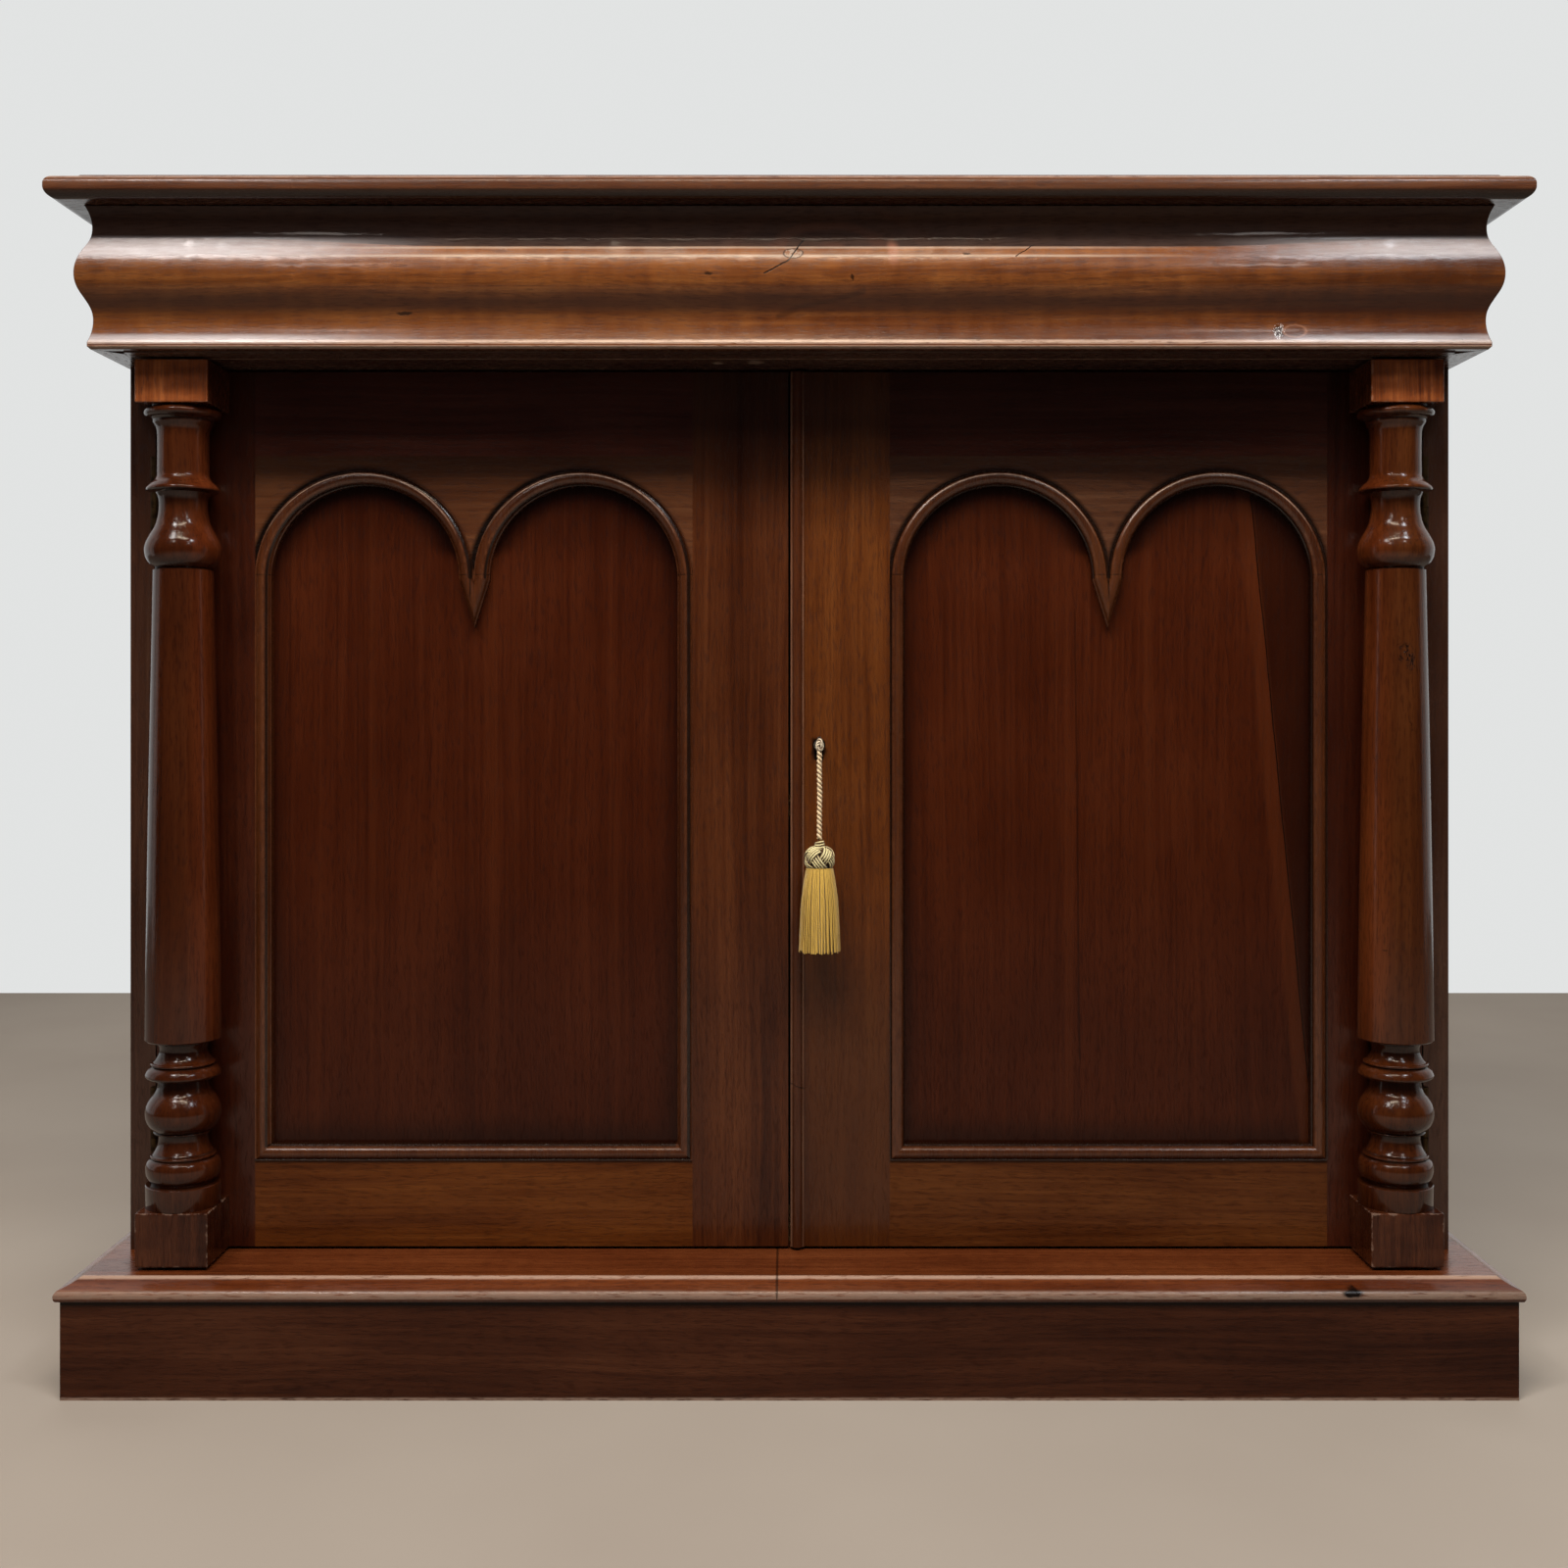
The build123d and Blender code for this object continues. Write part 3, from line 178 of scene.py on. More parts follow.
def lay_thread(form, points, radius, sides, closed=False):
    """Sweep a round thread along points into a bmesh."""
    curve = bpy.data.curves.new("thread", "CURVE")
    curve.dimensions = "3D"
    curve.bevel_depth = radius
    curve.bevel_resolution = max(0, (sides - 4) // 2)
    curve.use_fill_caps = not closed
    line = curve.splines.new("POLY")
    line.points.add(len(points) - 1)
    for point, place in zip(line.points, points):
        point.co = (*place, 1.0)
    line.use_cyclic_u = closed
    mesh = mesh_of(curve)
    form.from_mesh(mesh)
    bpy.data.meshes.remove(mesh)


def upright(x, y):
    """A core for make_piece: the upright line through x and y."""
    return lambda place: Vector((x, y, place.z))


print("thread helpers ready")

# %% [markdown]
# Each strand is a helix round the route, and the two start on opposite sides of it. Their
# offset is a little less than a strand's radius, so they press into each other.

# %% Twist two strands round the route
strand_radius = 0.00118
strand_offset = 0.00096
turns = 9.5
cord_form = bmesh.new()
places = spread(cord_path, 240)
for strand in range(2):
    line = []
    for number, place in enumerate(places):
        angle = math.pi * strand + 2 * math.pi * turns * number / (len(places) - 1)
        line.append(place + strand_offset * Vector((math.cos(angle), math.sin(angle), 0)))
    lay_thread(cord_form, line, strand_radius, sides=10)
cord = make_piece("twisted_cord", cord_form, "tassel", core=upright(*cord_exit[:2]))
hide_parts("tassel_cord")

# %% [markdown]
# ## The hitch on the bow
#
# The cord's loop passes through the bow and is drawn tight in a lark's head. From the
# front it is a small light lump. A line that crosses itself three times, as an overhand
# knot does, gives that lump with two strands of the same thread.

# %% Tie the hitch
hitch_low, hitch_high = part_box("tassel_hitch")
hitch_middle = (hitch_low + hitch_high) / 2
hitch_thread = 0.00095
hitch_steps = 72
hitch_form = bmesh.new()
for strand in range(2):
    line = []
    for number in range(hitch_steps):
        angle = 2 * math.pi * number / hitch_steps
        reach = 0.0021 + 0.00085 * math.cos(3 * angle) + 0.0004 * strand
        across = reach * math.sin(2 * angle) * 0.76
        forwards = -0.0009 * math.sin(3 * angle) - 0.0009
        up = reach * math.cos(2 * angle) * 1.25 + 0.0012 * (strand - 0.5)
        line.append(hitch_middle + Vector((across, forwards, up)))
    lay_thread(hitch_form, line, hitch_thread, sides=8, closed=True)
hitch = make_piece("key_hitch", hitch_form, "key", core=lambda place: hitch_middle)
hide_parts("tassel_hitch")

# %% [markdown]
# ## The tassel's knot
#
# The head of the tassel is a Turk's head: one band that goes round the ball three times
# and weaves over and under itself, five bights to the round. The band is four threads
# side by side. Three passes of a plait follow a sine up and down the ball, and a second
# sine at twice the pace lifts the band over one crossing and sinks it under the next.

# %% Measure the knot's place
knot_low, knot_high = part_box("tassel_knot")
skirt_low, skirt_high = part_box("tassel_skirt")
axis_x = (skirt_low.x + skirt_high.x) / 2
axis_y = (skirt_low.y + skirt_high.y) / 2
ball_radius = (knot_high.x - knot_low.x) / 2
ball_foot = knot_low.z
ball_head = ball_foot + 0.021
ball_middle = Vector((axis_x, axis_y, (ball_foot + ball_head) / 2))
ball_stretch = (ball_head - ball_foot) / 2 / ball_radius * 1.06
print("ball radius", round(ball_radius / mm, 1), "mm")


# %% Two ways to say where a thread goes
bights = 5
laps = 3
plait_height = math.radians(58)
weave_height = 0.0015


def knot_point(way, lift):
    """Place of the band's middle after some angle round the ball, a little under its outside."""
    wave = bights * way / laps
    height = plait_height * math.sin(wave)
    over = weave_height * math.sin(2 * wave)
    radius = ball_radius - 0.0030 + over + lift
    flat = math.cos(height) * radius
    return ball_middle + Vector(
        (flat * math.cos(way), flat * math.sin(way), ball_stretch * radius * math.sin(height))
    )


def round_axis(reach, angle, height, oval=1.0):
    """Place at some reach and angle from the tassel's axis."""
    return Vector((axis_x + reach * math.cos(angle) * oval, axis_y + reach * math.sin(angle), height))


print("bights and laps:", bights, laps)

# %% Weave the Turk's head
threads = 4
thread_radius = 0.00092
steps = 300
knot_form = bmesh.new()
for thread in range(threads):
    from_middle = thread - (threads - 1) / 2
    side = from_middle * thread_radius * 2.12
    lift = -0.0005 * (abs(from_middle) - 0.5)
    line = []
    for number in range(steps):
        way = 2 * math.pi * laps * number / steps
        here = knot_point(way, lift)
        ahead = (knot_point(way + 0.01, lift) - here).normalized()
        out = (here - ball_middle).normalized()
        line.append(here + side * out.cross(ahead).normalized())
    lay_thread(knot_form, line, thread_radius, sides=8, closed=True)
print("knot faces:", len(knot_form.faces))

# %% [markdown]
# Under the weave sits a ball of wadding that closes the gaps, and above it a few turns of
# thread form the neck where the cord goes in.

# %% Add the wadding and the neck
wadding_radius = ball_radius - 0.0052
wadding = bmesh.ops.create_icosphere(knot_form, subdivisions=3, radius=wadding_radius)
bmesh.ops.scale(knot_form, vec=(1, 1, ball_stretch), verts=wadding["verts"])
bmesh.ops.translate(knot_form, vec=ball_middle, verts=wadding["verts"])
neck_foot = ball_head - 0.0012
neck_steps = 40
neck_thread = 0.00105
for turn in range(3):
    line = []
    for number in range(neck_steps):
        angle = 2 * math.pi * number / neck_steps
        height = neck_foot + 0.0016 * turn + 0.0006 * math.sin(angle + turn)
        line.append(round_axis(0.0030 - 0.0003 * turn, angle, height, oval=1.15))
    lay_thread(knot_form, line, neck_thread, sides=8, closed=True)
knot = make_piece("turks_head", knot_form, "tassel", core=lambda place: ball_middle)
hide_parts("tassel_knot")

# %% [markdown]
# Where the band dives under itself, it gets less light. So the knot's crown value also
# falls with depth, and the weave stays clear although it is only a few millimetres wide.

# %% Darken the threads that lie deep
deepest = 0.76
climb = 0.14
least_left = 0.40
for vertex, crown in zip(knot.data.vertices, knot.data.attributes["crown"].data):
    away = vertex.co - ball_middle
    depth = Vector((away.x, away.y, away.z / ball_stretch)).length / ball_radius
    crown.value *= least_left + (1 - least_left) * min(1.0, max(0.0, (depth - deepest) / climb))
print("crown values changed:", len(knot.data.vertices))

# %% [markdown]
# ## The skirt
#
# The skirt is a bundle of fine twisted cords that hang from under the knot. They leave it
# close together, spread as they fall, and were cut with scissors, so the ends aren't quite
# level. Three rings of threads, each thread a little out of line, give the ribbed look and
# close the gaps.

# %% The skirt's outline
skirt_drop = skirt_high.z - skirt_low.z
skirt_radius = (skirt_high.x - skirt_low.x) / 2
shoulder = 0.42


def skirt_width(fall):
    """Share of the full width at some share of the way down: quick to the shoulder, then slow."""
    above = 0.26 * min(1.0, fall / shoulder) ** 0.8
    below = 0.115 * max(0.0, fall - shoulder) / 0.58
    return 0.60 + above + below


print("skirt hangs", round(skirt_drop / mm, 1), "mm")

# %% Hang the skirt's threads
dice = random.Random(11)
skirt_steps = 8
skirt_form = bmesh.new()
for ring_radius, count, thick in ((1.0, 62, 0.00082), (0.88, 50, 0.00085), (0.72, 36, 0.00095)):
    for number in range(count):
        turn = 2 * math.pi * (number + dice.uniform(-0.22, 0.22)) / count
        cut = skirt_drop * dice.uniform(0.955, 0.992)
        drift = dice.uniform(-0.07, 0.07)
        belly = dice.uniform(0.97, 1.0)
        line = []
        for step in range(skirt_steps + 1):
            fall = step / skirt_steps
            reach = (skirt_radius - thick) * ring_radius * skirt_width(fall) * (1 + (belly - 1) * fall)
            line.append(round_axis(reach, turn + drift * fall * fall, skirt_high.z + 0.001 - cut * fall))
        lay_thread(skirt_form, line, thick, sides=6)
skirt = make_piece("tassel_threads", skirt_form, "tassel", core=upright(axis_x, axis_y))
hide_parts("tassel_skirt")

# %% [markdown]
# ## The turned columns
#
# A turner works a column against a drawn outline: discs and beads with crisp corners,
# bulbs and hollows between them. Here the outline is drawn once, with a corner or a smooth
# point at every change, and spun round the column's axis. The back is sawn flat, because
# the column is planted on the door's hinge stile. A hand-turned column is never quite true,
# and a hundred and fifty years of dusting have rounded its rims, so the spun shape is then
# nudged by a slow noise.


# %% A pen for outlines
def draw_outline(stations):
    """Points of a line through stations of (across, up, kind): "c" is a corner, "s" is smooth."""
    curve = bpy.data.curves.new("outline", "CURVE")
    curve.dimensions = "3D"
    curve.resolution_u = 5
    line = curve.splines.new("BEZIER")
    line.bezier_points.add(len(stations) - 1)
    for station, (across, up, kind) in zip(line.bezier_points, stations):
        station.co = (across * mm, 0, up * mm)
        handle = "AUTO" if kind == "s" else "VECTOR"
        station.handle_left_type = station.handle_right_type = handle
    mesh = mesh_of(curve)
    points = [vertex.co.copy() for vertex in mesh.vertices]
    bpy.data.meshes.remove(mesh)
    return points


print("pen ready")

# %% [markdown]
# The outline starts and ends on the axis. The members of the foot are counted upwards from
# the column's foot, and those of the head downwards from its head, so both keep their
# shape on a taller or a shorter column. Between them the shaft tapers.

# %% The column's outline, as radius, height in millimetres, and kind
foot_members = [
    (0.0, 0.0, "c"), (28.0, 0.0, "c"), (28.3, 0.4, "c"), (28.3, 16.5, "c"), (27.6, 17.2, "c"),
    (24.0, 17.6, "c"), (24.2, 19.2, "c"), (26.9, 22.6, "s"), (28.2, 29.2, "s"), (27.0, 34.6, "s"),
    (24.8, 37.2, "c"), (23.8, 37.6, "c"), (24.6, 38.6, "s"), (24.6, 39.8, "s"), (23.4, 40.6, "c"),
    (22.3, 41.4, "c"), (20.0, 45.8, "s"), (18.6, 51.8, "s"), (18.9, 56.2, "c"), (21.4, 56.5, "c"),
    (22.3, 57.5, "s"), (21.7, 58.5, "c"), (22.2, 58.8, "c"), (26.4, 63.6, "s"), (28.5, 71.6, "s"),
    (27.4, 78.4, "s"), (24.2, 84.4, "s"), (20.6, 89.4, "s"), (18.8, 97.8, "c"), (26.8, 99.6, "c"),
    (28.3, 101.4, "s"), (28.0, 103.2, "s"), (26.4, 106.2, "s"), (24.0, 108.4, "c"), (23.0, 109.2, "c"),
    (24.4, 110.2, "s"), (24.2, 111.5, "s"), (22.8, 112.2, "c"), (19.9, 115.6, "s"), (18.0, 121.3, "s"),
    (19.4, 126.2, "c"), (20.4, 126.8, "c"), (20.4, 128.2, "c"), (27.9, 128.8, "c"), (28.7, 129.8, "c"),
    (28.6, 134.0, "c"), (28.0, 190.0, "s"), (25.9, 330.0, "s"), (23.4, 460.0, "s"),
]
head_members = [
    (22.8, 127.2, "c"), (21.0, 126.0, "c"), (22.4, 124.9, "c"), (26.2, 121.4, "s"), (28.9, 113.4, "s"),
    (28.4, 107.2, "s"), (25.2, 99.8, "s"), (21.2, 92.2, "s"), (19.3, 85.6, "s"), (18.4, 78.0, "s"),
    (18.9, 71.0, "s"), (20.6, 66.8, "c"), (26.9, 65.4, "c"), (27.6, 64.5, "s"), (25.6, 61.0, "s"),
    (21.6, 57.2, "s"), (19.7, 53.6, "c"), (19.5, 38.0, "s"), (19.6, 22.5, "c"), (20.2, 17.0, "s"),
    (22.6, 12.4, "c"), (22.7, 10.4, "c"), (24.2, 9.0, "c"), (28.0, 7.2, "s"), (29.0, 4.6, "s"),
    (27.4, 2.4, "s"), (23.4, 1.2, "c"), (23.0, 0.0, "c"), (0.0, 0.0, "c"),
]
column_foot, column_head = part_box("right_column")
foot = column_foot.z / mm
head = column_head.z / mm
column_outline = [(across, foot + rise, kind) for across, rise, kind in foot_members]
column_outline += [(across, head - drop, kind) for across, drop, kind in head_members]
profile = draw_outline(column_outline)
print("outline points:", len(profile))

# %% [markdown]
# The spin goes once round the axis in eighty steps and merges its seam. The noise moves a
# radius by less than a percent, and dents the cap's rim by up to a millimetre. Corners of
# more than 38 degrees are then marked sharp, so the discs keep a hard edge while the bulbs
# shade smoothly.


# %% Turn, wear and saw one column
axis_depth = -0.153
door_face = -0.127
out_of_true = 0.006
rim_dent = 0.0011


def nudge(vertex, seed):
    """Wear one vertex of a column that stands on the origin."""
    reach = math.hypot(vertex.co.x, vertex.co.y)
    spot = Vector((vertex.co.x * 22, vertex.co.y * 22, vertex.co.z * 9 + seed))
    vertex.co.x *= 1 + out_of_true * noise.noise(spot)
    vertex.co.y *= 1 + out_of_true * noise.noise(spot + Vector((7, 3, 0)))
    rim = max(0.0, 1 - abs(vertex.co.z - (head - 5.5) * mm) / 0.005)
    if reach > 0.02 and rim > 0:
        angle = math.atan2(vertex.co.y, vertex.co.x)
        place = Vector((2.2 * math.cos(angle), 2.2 * math.sin(angle), seed))
        vertex.co.z += rim_dent * rim * noise.noise(place)


def turn_column(name, node, body, seed):
    """Spin the outline, wear it by a seed, saw its back off and put it on its door."""
    low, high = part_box(node)
    form = bmesh.new()
    line = [form.verts.new(point) for point in profile]
    edges = [form.edges.new(pair) for pair in zip(line, line[1:])]
    bmesh.ops.spin(
        form, geom=line + edges, cent=(0, 0, 0), axis=(0, 0, 1), angle=2 * math.pi, steps=80, use_merge=True
    )
    bmesh.ops.remove_doubles(form, verts=form.verts, dist=1e-6)
    for vertex in form.verts:
        nudge(vertex, seed)
    bmesh.ops.translate(form, vec=((low.x + high.x) / 2, axis_depth, 0.0), verts=form.verts)
    everything = form.verts[:] + form.edges[:] + form.faces[:]
    saw_place = (0, door_face, 0)
    bmesh.ops.bisect_plane(form, geom=everything, plane_co=saw_place, plane_no=(0, 1, 0), clear_outer=True)
    bmesh.ops.holes_fill(form, edges=[edge for edge in form.edges if edge.is_boundary], sides=0)
    bmesh.ops.recalc_face_normals(form, faces=form.faces)
    for edge in form.edges:
        if len(edge.link_faces) == 2 and edge.calc_face_angle() > math.radians(38):
            edge.smooth = False
    column = make_piece(name, form, body)
    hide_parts(node)


turn_column("turned_column_left", "left_column", "left_door", 3.0)
turn_column("turned_column_right", "right_column", "right_door", 8.0)

# %% [markdown]
# The square blocks above and below each column are plain sawn cubes whose arrises have
# rounded with wear. A cube with a small bevel of two segments catches the light there.


# %% Saw the blocks
def saw_blocks(name, node, body):
    """Two square blocks with softened arrises, where the plain blocks are."""
    low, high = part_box(node)
    form = bmesh.new()
    for floor_z, ceiling_z in ((low.z, column_foot.z), (column_head.z, high.z)):
        size = Vector((high.x - low.x, high.y - low.y, ceiling_z - floor_z))
        middle = ((low.x + high.x) / 2, (low.y + high.y) / 2, (floor_z + ceiling_z) / 2)
        cube = bmesh.ops.create_cube(form, size=1.0)["verts"]
        bmesh.ops.scale(form, vec=size, verts=cube)
        bmesh.ops.translate(form, vec=middle, verts=cube)
    bmesh.ops.bevel(
        form, geom=form.edges[:], offset=0.0011, segments=2, profile=0.5, affect="EDGES", material=-1
    )
    blocks = make_piece(name, form, body, smooth=False)
    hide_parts(node)


saw_blocks("worn_blocks_left", "left_column_blocks", "left_door")
saw_blocks("worn_blocks_right", "right_column_blocks", "right_door")

# %% [markdown]
# ## Floor and studio
#
# The piece stands on a plain pale floor in front of a white ground. The floor is one large
# plane, and the white comes from the world, shown to the camera and in reflections only.

# %% Lay the floor
floor_form = bmesh.new()
bmesh.ops.create_grid(floor_form, x_segments=1, y_segments=1, size=1.0)
bmesh.ops.scale(floor_form, vec=(4.0, 2.6, 1.0), verts=floor_form.verts)
bmesh.ops.translate(floor_form, vec=(0.0, -0.95, 0.0), verts=floor_form.verts)
floor_mesh = bpy.data.meshes.new("floor")
floor_form.to_mesh(floor_mesh)
floor_form.free()
floor = bpy.data.objects.new("floor", floor_mesh)
bpy.context.scene.collection.objects.link(floor)
print("floor edge behind the piece at", round(max(v.co.y for v in floor_mesh.vertices), 2), "m")


# %% [markdown]
# ## Shader maths in plain expressions
#
# A finish is a sum of small patterns. Written out node by node it is hard to read, so a
# Wire stands for one socket and turns `+`, `-` and `*` into Math nodes.


# %% Wire
class Wire:
    """One output socket, used in sums that add their own Math nodes."""

    def __init__(self, finish, socket):
        self.finish = finish
        self.socket = socket

    def sum(self, operation, *values):
        return self.finish.node("Math", {"operation": operation}, dict(enumerate(values)))

    def __add__(self, other):
        return self.sum("ADD", self, other)

    def __sub__(self, other):
        return self.sum("SUBTRACT", self, other)

    def __mul__(self, other):
        return self.sum("MULTIPLY", self, other)

    def __radd__(self, other):
        return self.sum("ADD", other, self)

    def __rsub__(self, other):
        return self.sum("SUBTRACT", other, self)

    def __rmul__(self, other):
        return self.sum("MULTIPLY", other, self)

    def size(self):
        return self.sum("ABSOLUTE", self)

    def root(self):
        return self.sum("SQRT", self)

    def sine(self):
        return self.sum("SINE", self)

    def most(self, other):
        return self.sum("MAXIMUM", self, other)

    def least(self, other):
        return self.sum("MINIMUM", self, other)

    def step(self, low, high):
        """0 below low, 1 above high, smooth between; low above high turns it round."""
        settings = {"interpolation_type": "SMOOTHSTEP"}
        return self.finish.node("MapRange", settings, {"Value": self, "From Min": low, "From Max": high})

    def band(self, low, high, soft):
        """1 between low and high, 0 outside, with soft edges."""
        return self.step(low - soft, low + soft) * self.step(high + soft, high - soft)


print("wires are ready")

# %% [markdown]
# A Finish is one material, or the world. A single method adds any node, and the others are
# the patterns that come back on every board: cloudy noise, noise stretched along the grain,
# round spots and straight strokes.


# %% Finish
class Finish:
    """One material or world, built from wires."""

    def __init__(self, name, world=False):
        self.material = (bpy.data.worlds if world else bpy.data.materials).new(name)
        self.material.use_nodes = True
        self.tree = self.material.node_tree
        self.tree.nodes.clear()

    def node(self, kind, settings=None, inputs=None, output=0):
        """Add a node; stops are a ramp's, and inputs are values or wires."""
        made = self.tree.nodes.new("ShaderNode" + kind)
        for name, value in (settings or {}).items():
            if name == "stops":
                while len(made.color_ramp.elements) < len(value):
                    made.color_ramp.elements.new(1.0)
                for element, (place, colour) in zip(made.color_ramp.elements, value):
                    element.position = place
                    element.color = (*colour, 1.0)
            else:
                setattr(made, name, value)
        for socket, value in (inputs or {}).items():
            if isinstance(value, Wire):
                self.tree.links.new(value.socket, made.inputs[socket])
            else:
                made.inputs[socket].default_value = value
        return Wire(self, made.outputs[output]) if made.outputs else None

    def here(self):
        """Object coordinates, in metres, as every piece has its origin at the frame's."""
        return self.node("TexCoord", output="Object")

    def place(self, shift=(0, 0, 0)):
        """Object coordinates, shifted to another part of the tree."""
        return self.vector("ADD", self.here(), shift)

    def vector(self, operation, first, second, output=0):
        return self.node("VectorMath", {"operation": operation}, {0: first, 1: second}, output)

    def axis(self, vector, letter):
        return self.node("SeparateXYZ", None, {0: vector}, "XYZ".index(letter))

    def noise(self, vector, scale, detail=3.0, rough=0.55, output=0):
        inputs = {"Vector": vector, "Scale": scale, "Detail": detail, "Roughness": rough}
        return self.node("TexNoise", None, inputs, output)

    def stretched(self, vector, scales, detail=3.0, rough=0.55, output=0):
        """Noise with a scale of its own along x, y and z."""
        return self.noise(self.vector("MULTIPLY", vector, scales), 1.0, detail, rough, output)

    def shaken(self, vector, scale, reach):
        """A vector whose points are pushed about by a noise, at most about reach."""
        push = self.vector("SUBTRACT", self.noise(vector, scale, 2.0, output="Color"), (0.5, 0.5, 0.5))
        return self.vector("ADD", vector, self.vector("MULTIPLY", push, (4 * reach, 4 * reach, 4 * reach)))

    def mix(self, amount, first, second, how="MIX"):
        """Mix two colours."""
        first = (*first, 1.0) if isinstance(first, tuple) else first
        second = (*second, 1.0) if isinstance(second, tuple) else second
        settings = {"data_type": "RGBA", "blend_type": how}
        return self.node("Mix", settings, {0: amount, 6: first, 7: second}, 2)

    def ramp(self, value, stops):
        return self.node("ValToRGB", {"stops": stops}, {0: value})

    def bump(self, height, depth, strength, onto=None):
        inputs = {"Height": height, "Distance": depth, "Strength": strength}
        if onto:
            inputs["Normal"] = onto
        return self.node("Bump", None, inputs)

    def spot(self, vector, middle, half, turn=0.0, flat=(1, 0, 1)):
        """How far a point is from a spot's middle, where 1 is the rim of an oval."""
        away = self.vector("MULTIPLY", self.vector("SUBTRACT", vector, middle), flat)
        if turn:
            inputs = {"Vector": away, "Angle": math.radians(turn)}
            away = self.node("VectorRotate", {"rotation_type": "Y_AXIS"}, inputs)
        away = self.vector("DIVIDE", away, half)
        return self.node("VectorMath", {"operation": "LENGTH"}, {0: away}, "Value")

    def stroke(self, vector, start, end):
        """Distance in metres from a straight stroke on the front, from start to end in x and z."""
        run = (end[0] - start[0], 0.0, end[1] - start[1])
        length = run[0] ** 2 + run[2] ** 2
        away = self.vector("SUBTRACT", self.vector("MULTIPLY", vector, (1, 0, 1)), (start[0], 0.0, start[1]))
        along = self.vector("DOT_PRODUCT", away, tuple(value / length for value in run), "Value")
        along = along.most(0.0).least(1.0)
        nearest = self.node("VectorMath", {"operation": "SCALE"}, {0: run, "Scale": along})
        return self.vector("DISTANCE", away, nearest, "Value")

    def crooked(self, vector, places):
        """Distance in metres from a line that bends at each of its places."""
        legs = [self.stroke(vector, *ends) for ends in zip(places, places[1:])]
        nearest = legs.pop()
        while legs:
            nearest = legs.pop().least(nearest)
        return nearest

    def polish(self, **sockets):
        """End the material in a Principled shader; names use _ for spaces."""
        inputs = {name.replace("_", " "): value for name, value in sockets.items()}
        self.close(self.node("BsdfPrincipled", None, inputs))
        return self.material

    def close(self, shader, kind="OutputMaterial"):
        self.node(kind, None, {"Surface": shader})


print("finishes are ready")

# %% [markdown]
# ## Light
#
# Polish shows its surroundings, so the lamps are placed for their reflections. A wide
# ceiling lamp lights the boards from above and in front, as a high white room does. Three
# small bright panes hang high in front, and the drawer's ogee draws them out into long
# lines. Two small windows farther off show as glints on the bulbs of the columns, and a
# tall, weak pane at each side rims them. The room behind the camera stays dim, with a
# faint lamp in front that opens the shadows, so the flat panels stay deep red.


# %% Hang the lamps
def hang_lamp(name, place, target, size, watts, colour, mirrored=True):
    """A soft rectangular lamp that looks at a target."""
    lamp = bpy.data.lights.new(name, "AREA")
    lamp.shape = "RECTANGLE"
    lamp.size, lamp.size_y = size
    lamp.energy = watts
    lamp.color = colour
    holder = bpy.data.objects.new(name, lamp)
    holder.location = place
    aim = Vector(target) - Vector(place)
    holder.rotation_euler = aim.to_track_quat("-Z", "Y").to_euler()
    holder.visible_glossy = mirrored
    bpy.context.scene.collection.objects.link(holder)


hang_lamp("pane_left", (-1.05, -1.42, 2.36), (-0.4, -0.2, 0.86), (0.36, 0.34), 11, (1.0, 0.95, 0.92))
hang_lamp("pane_middle", (-0.12, -1.42, 2.34), (0, -0.2, 0.86), (1.00, 0.18), 12, (1.0, 0.84, 0.64))
hang_lamp("pane_right", (1.05, -1.42, 2.36), (0.4, -0.2, 0.86), (0.30, 0.34), 8, (0.88, 0.94, 1.0))
hang_lamp("window_left", (-0.9, -2.0, 2.0), (-0.2, -0.13, 0.7), (0.15, 0.24), 2.4, (1.0, 0.90, 0.82))
hang_lamp("window_right", (0.9, -2.0, 2.0), (0.2, -0.13, 0.7), (0.15, 0.24), 2.4, (1.0, 0.93, 0.88))
hang_lamp("side_left", (-1.9, -0.25, 0.9), (0, -0.15, 0.6), (0.40, 1.5), 1.3, (1.0, 0.90, 0.84))
hang_lamp("side_right", (1.9, -0.25, 0.9), (0, -0.15, 0.6), (0.40, 1.5), 0.8, (1.0, 0.90, 0.84))
hang_lamp("front", (0.0, -2.7, 1.1), (0, 0, 0.5), (2.6, 1.4), 5, (1.0, 0.97, 0.93), mirrored=False)
hang_lamp("key", (-0.1, -1.20, 2.45), (0, -0.2, 0.7), (1.6, 0.12), 20, (1.0, 0.97, 0.93), mirrored=False)
hang_lamp("ceiling", (0.0, -1.60, 2.3), (0, -0.6, 0.3), (3.0, 1.0), 26, (1.0, 0.99, 0.98), mirrored=False)
hang_lamp("ceiling_behind", (0.0, 1.4, 2.6), (0, 1.0, 0), (3.2, 1.4), 30, (0.98, 0.99, 1.0), mirrored=False)

# %% [markdown]
# ## The ground behind
#
# The camera, and anything that mirrors or transmits, sees a white ground beyond the piece.
# Only weak light comes from it, so it never washes the mouldings out.

# %% Paint the world
sky = Finish("studio", world=True)
bpy.context.scene.world = sky.material
bpy.context.scene.view_settings.view_transform = "Standard"
facing = sky.axis(sky.node("TexCoord", output="Generated"), "Y")
mirrored = sky.node("LightPath", output="Is Glossy Ray") * facing.step(-0.10, 0.35)
seen = sky.node("LightPath", output="Is Camera Ray").most(sky.node("LightPath", output="Is Transmission Ray"))
dim = sky.node("Background", None, {"Color": (1.0, 0.98, 0.95, 1.0), "Strength": 0.025})
bright = sky.node("Background", None, {"Color": (0.985, 1.0, 0.995, 1.0), "Strength": 0.77})
sky.close(sky.node("MixShader", None, {0: seen.most(mirrored), 1: dim, 2: bright}), "OutputWorld")
print("world painted")

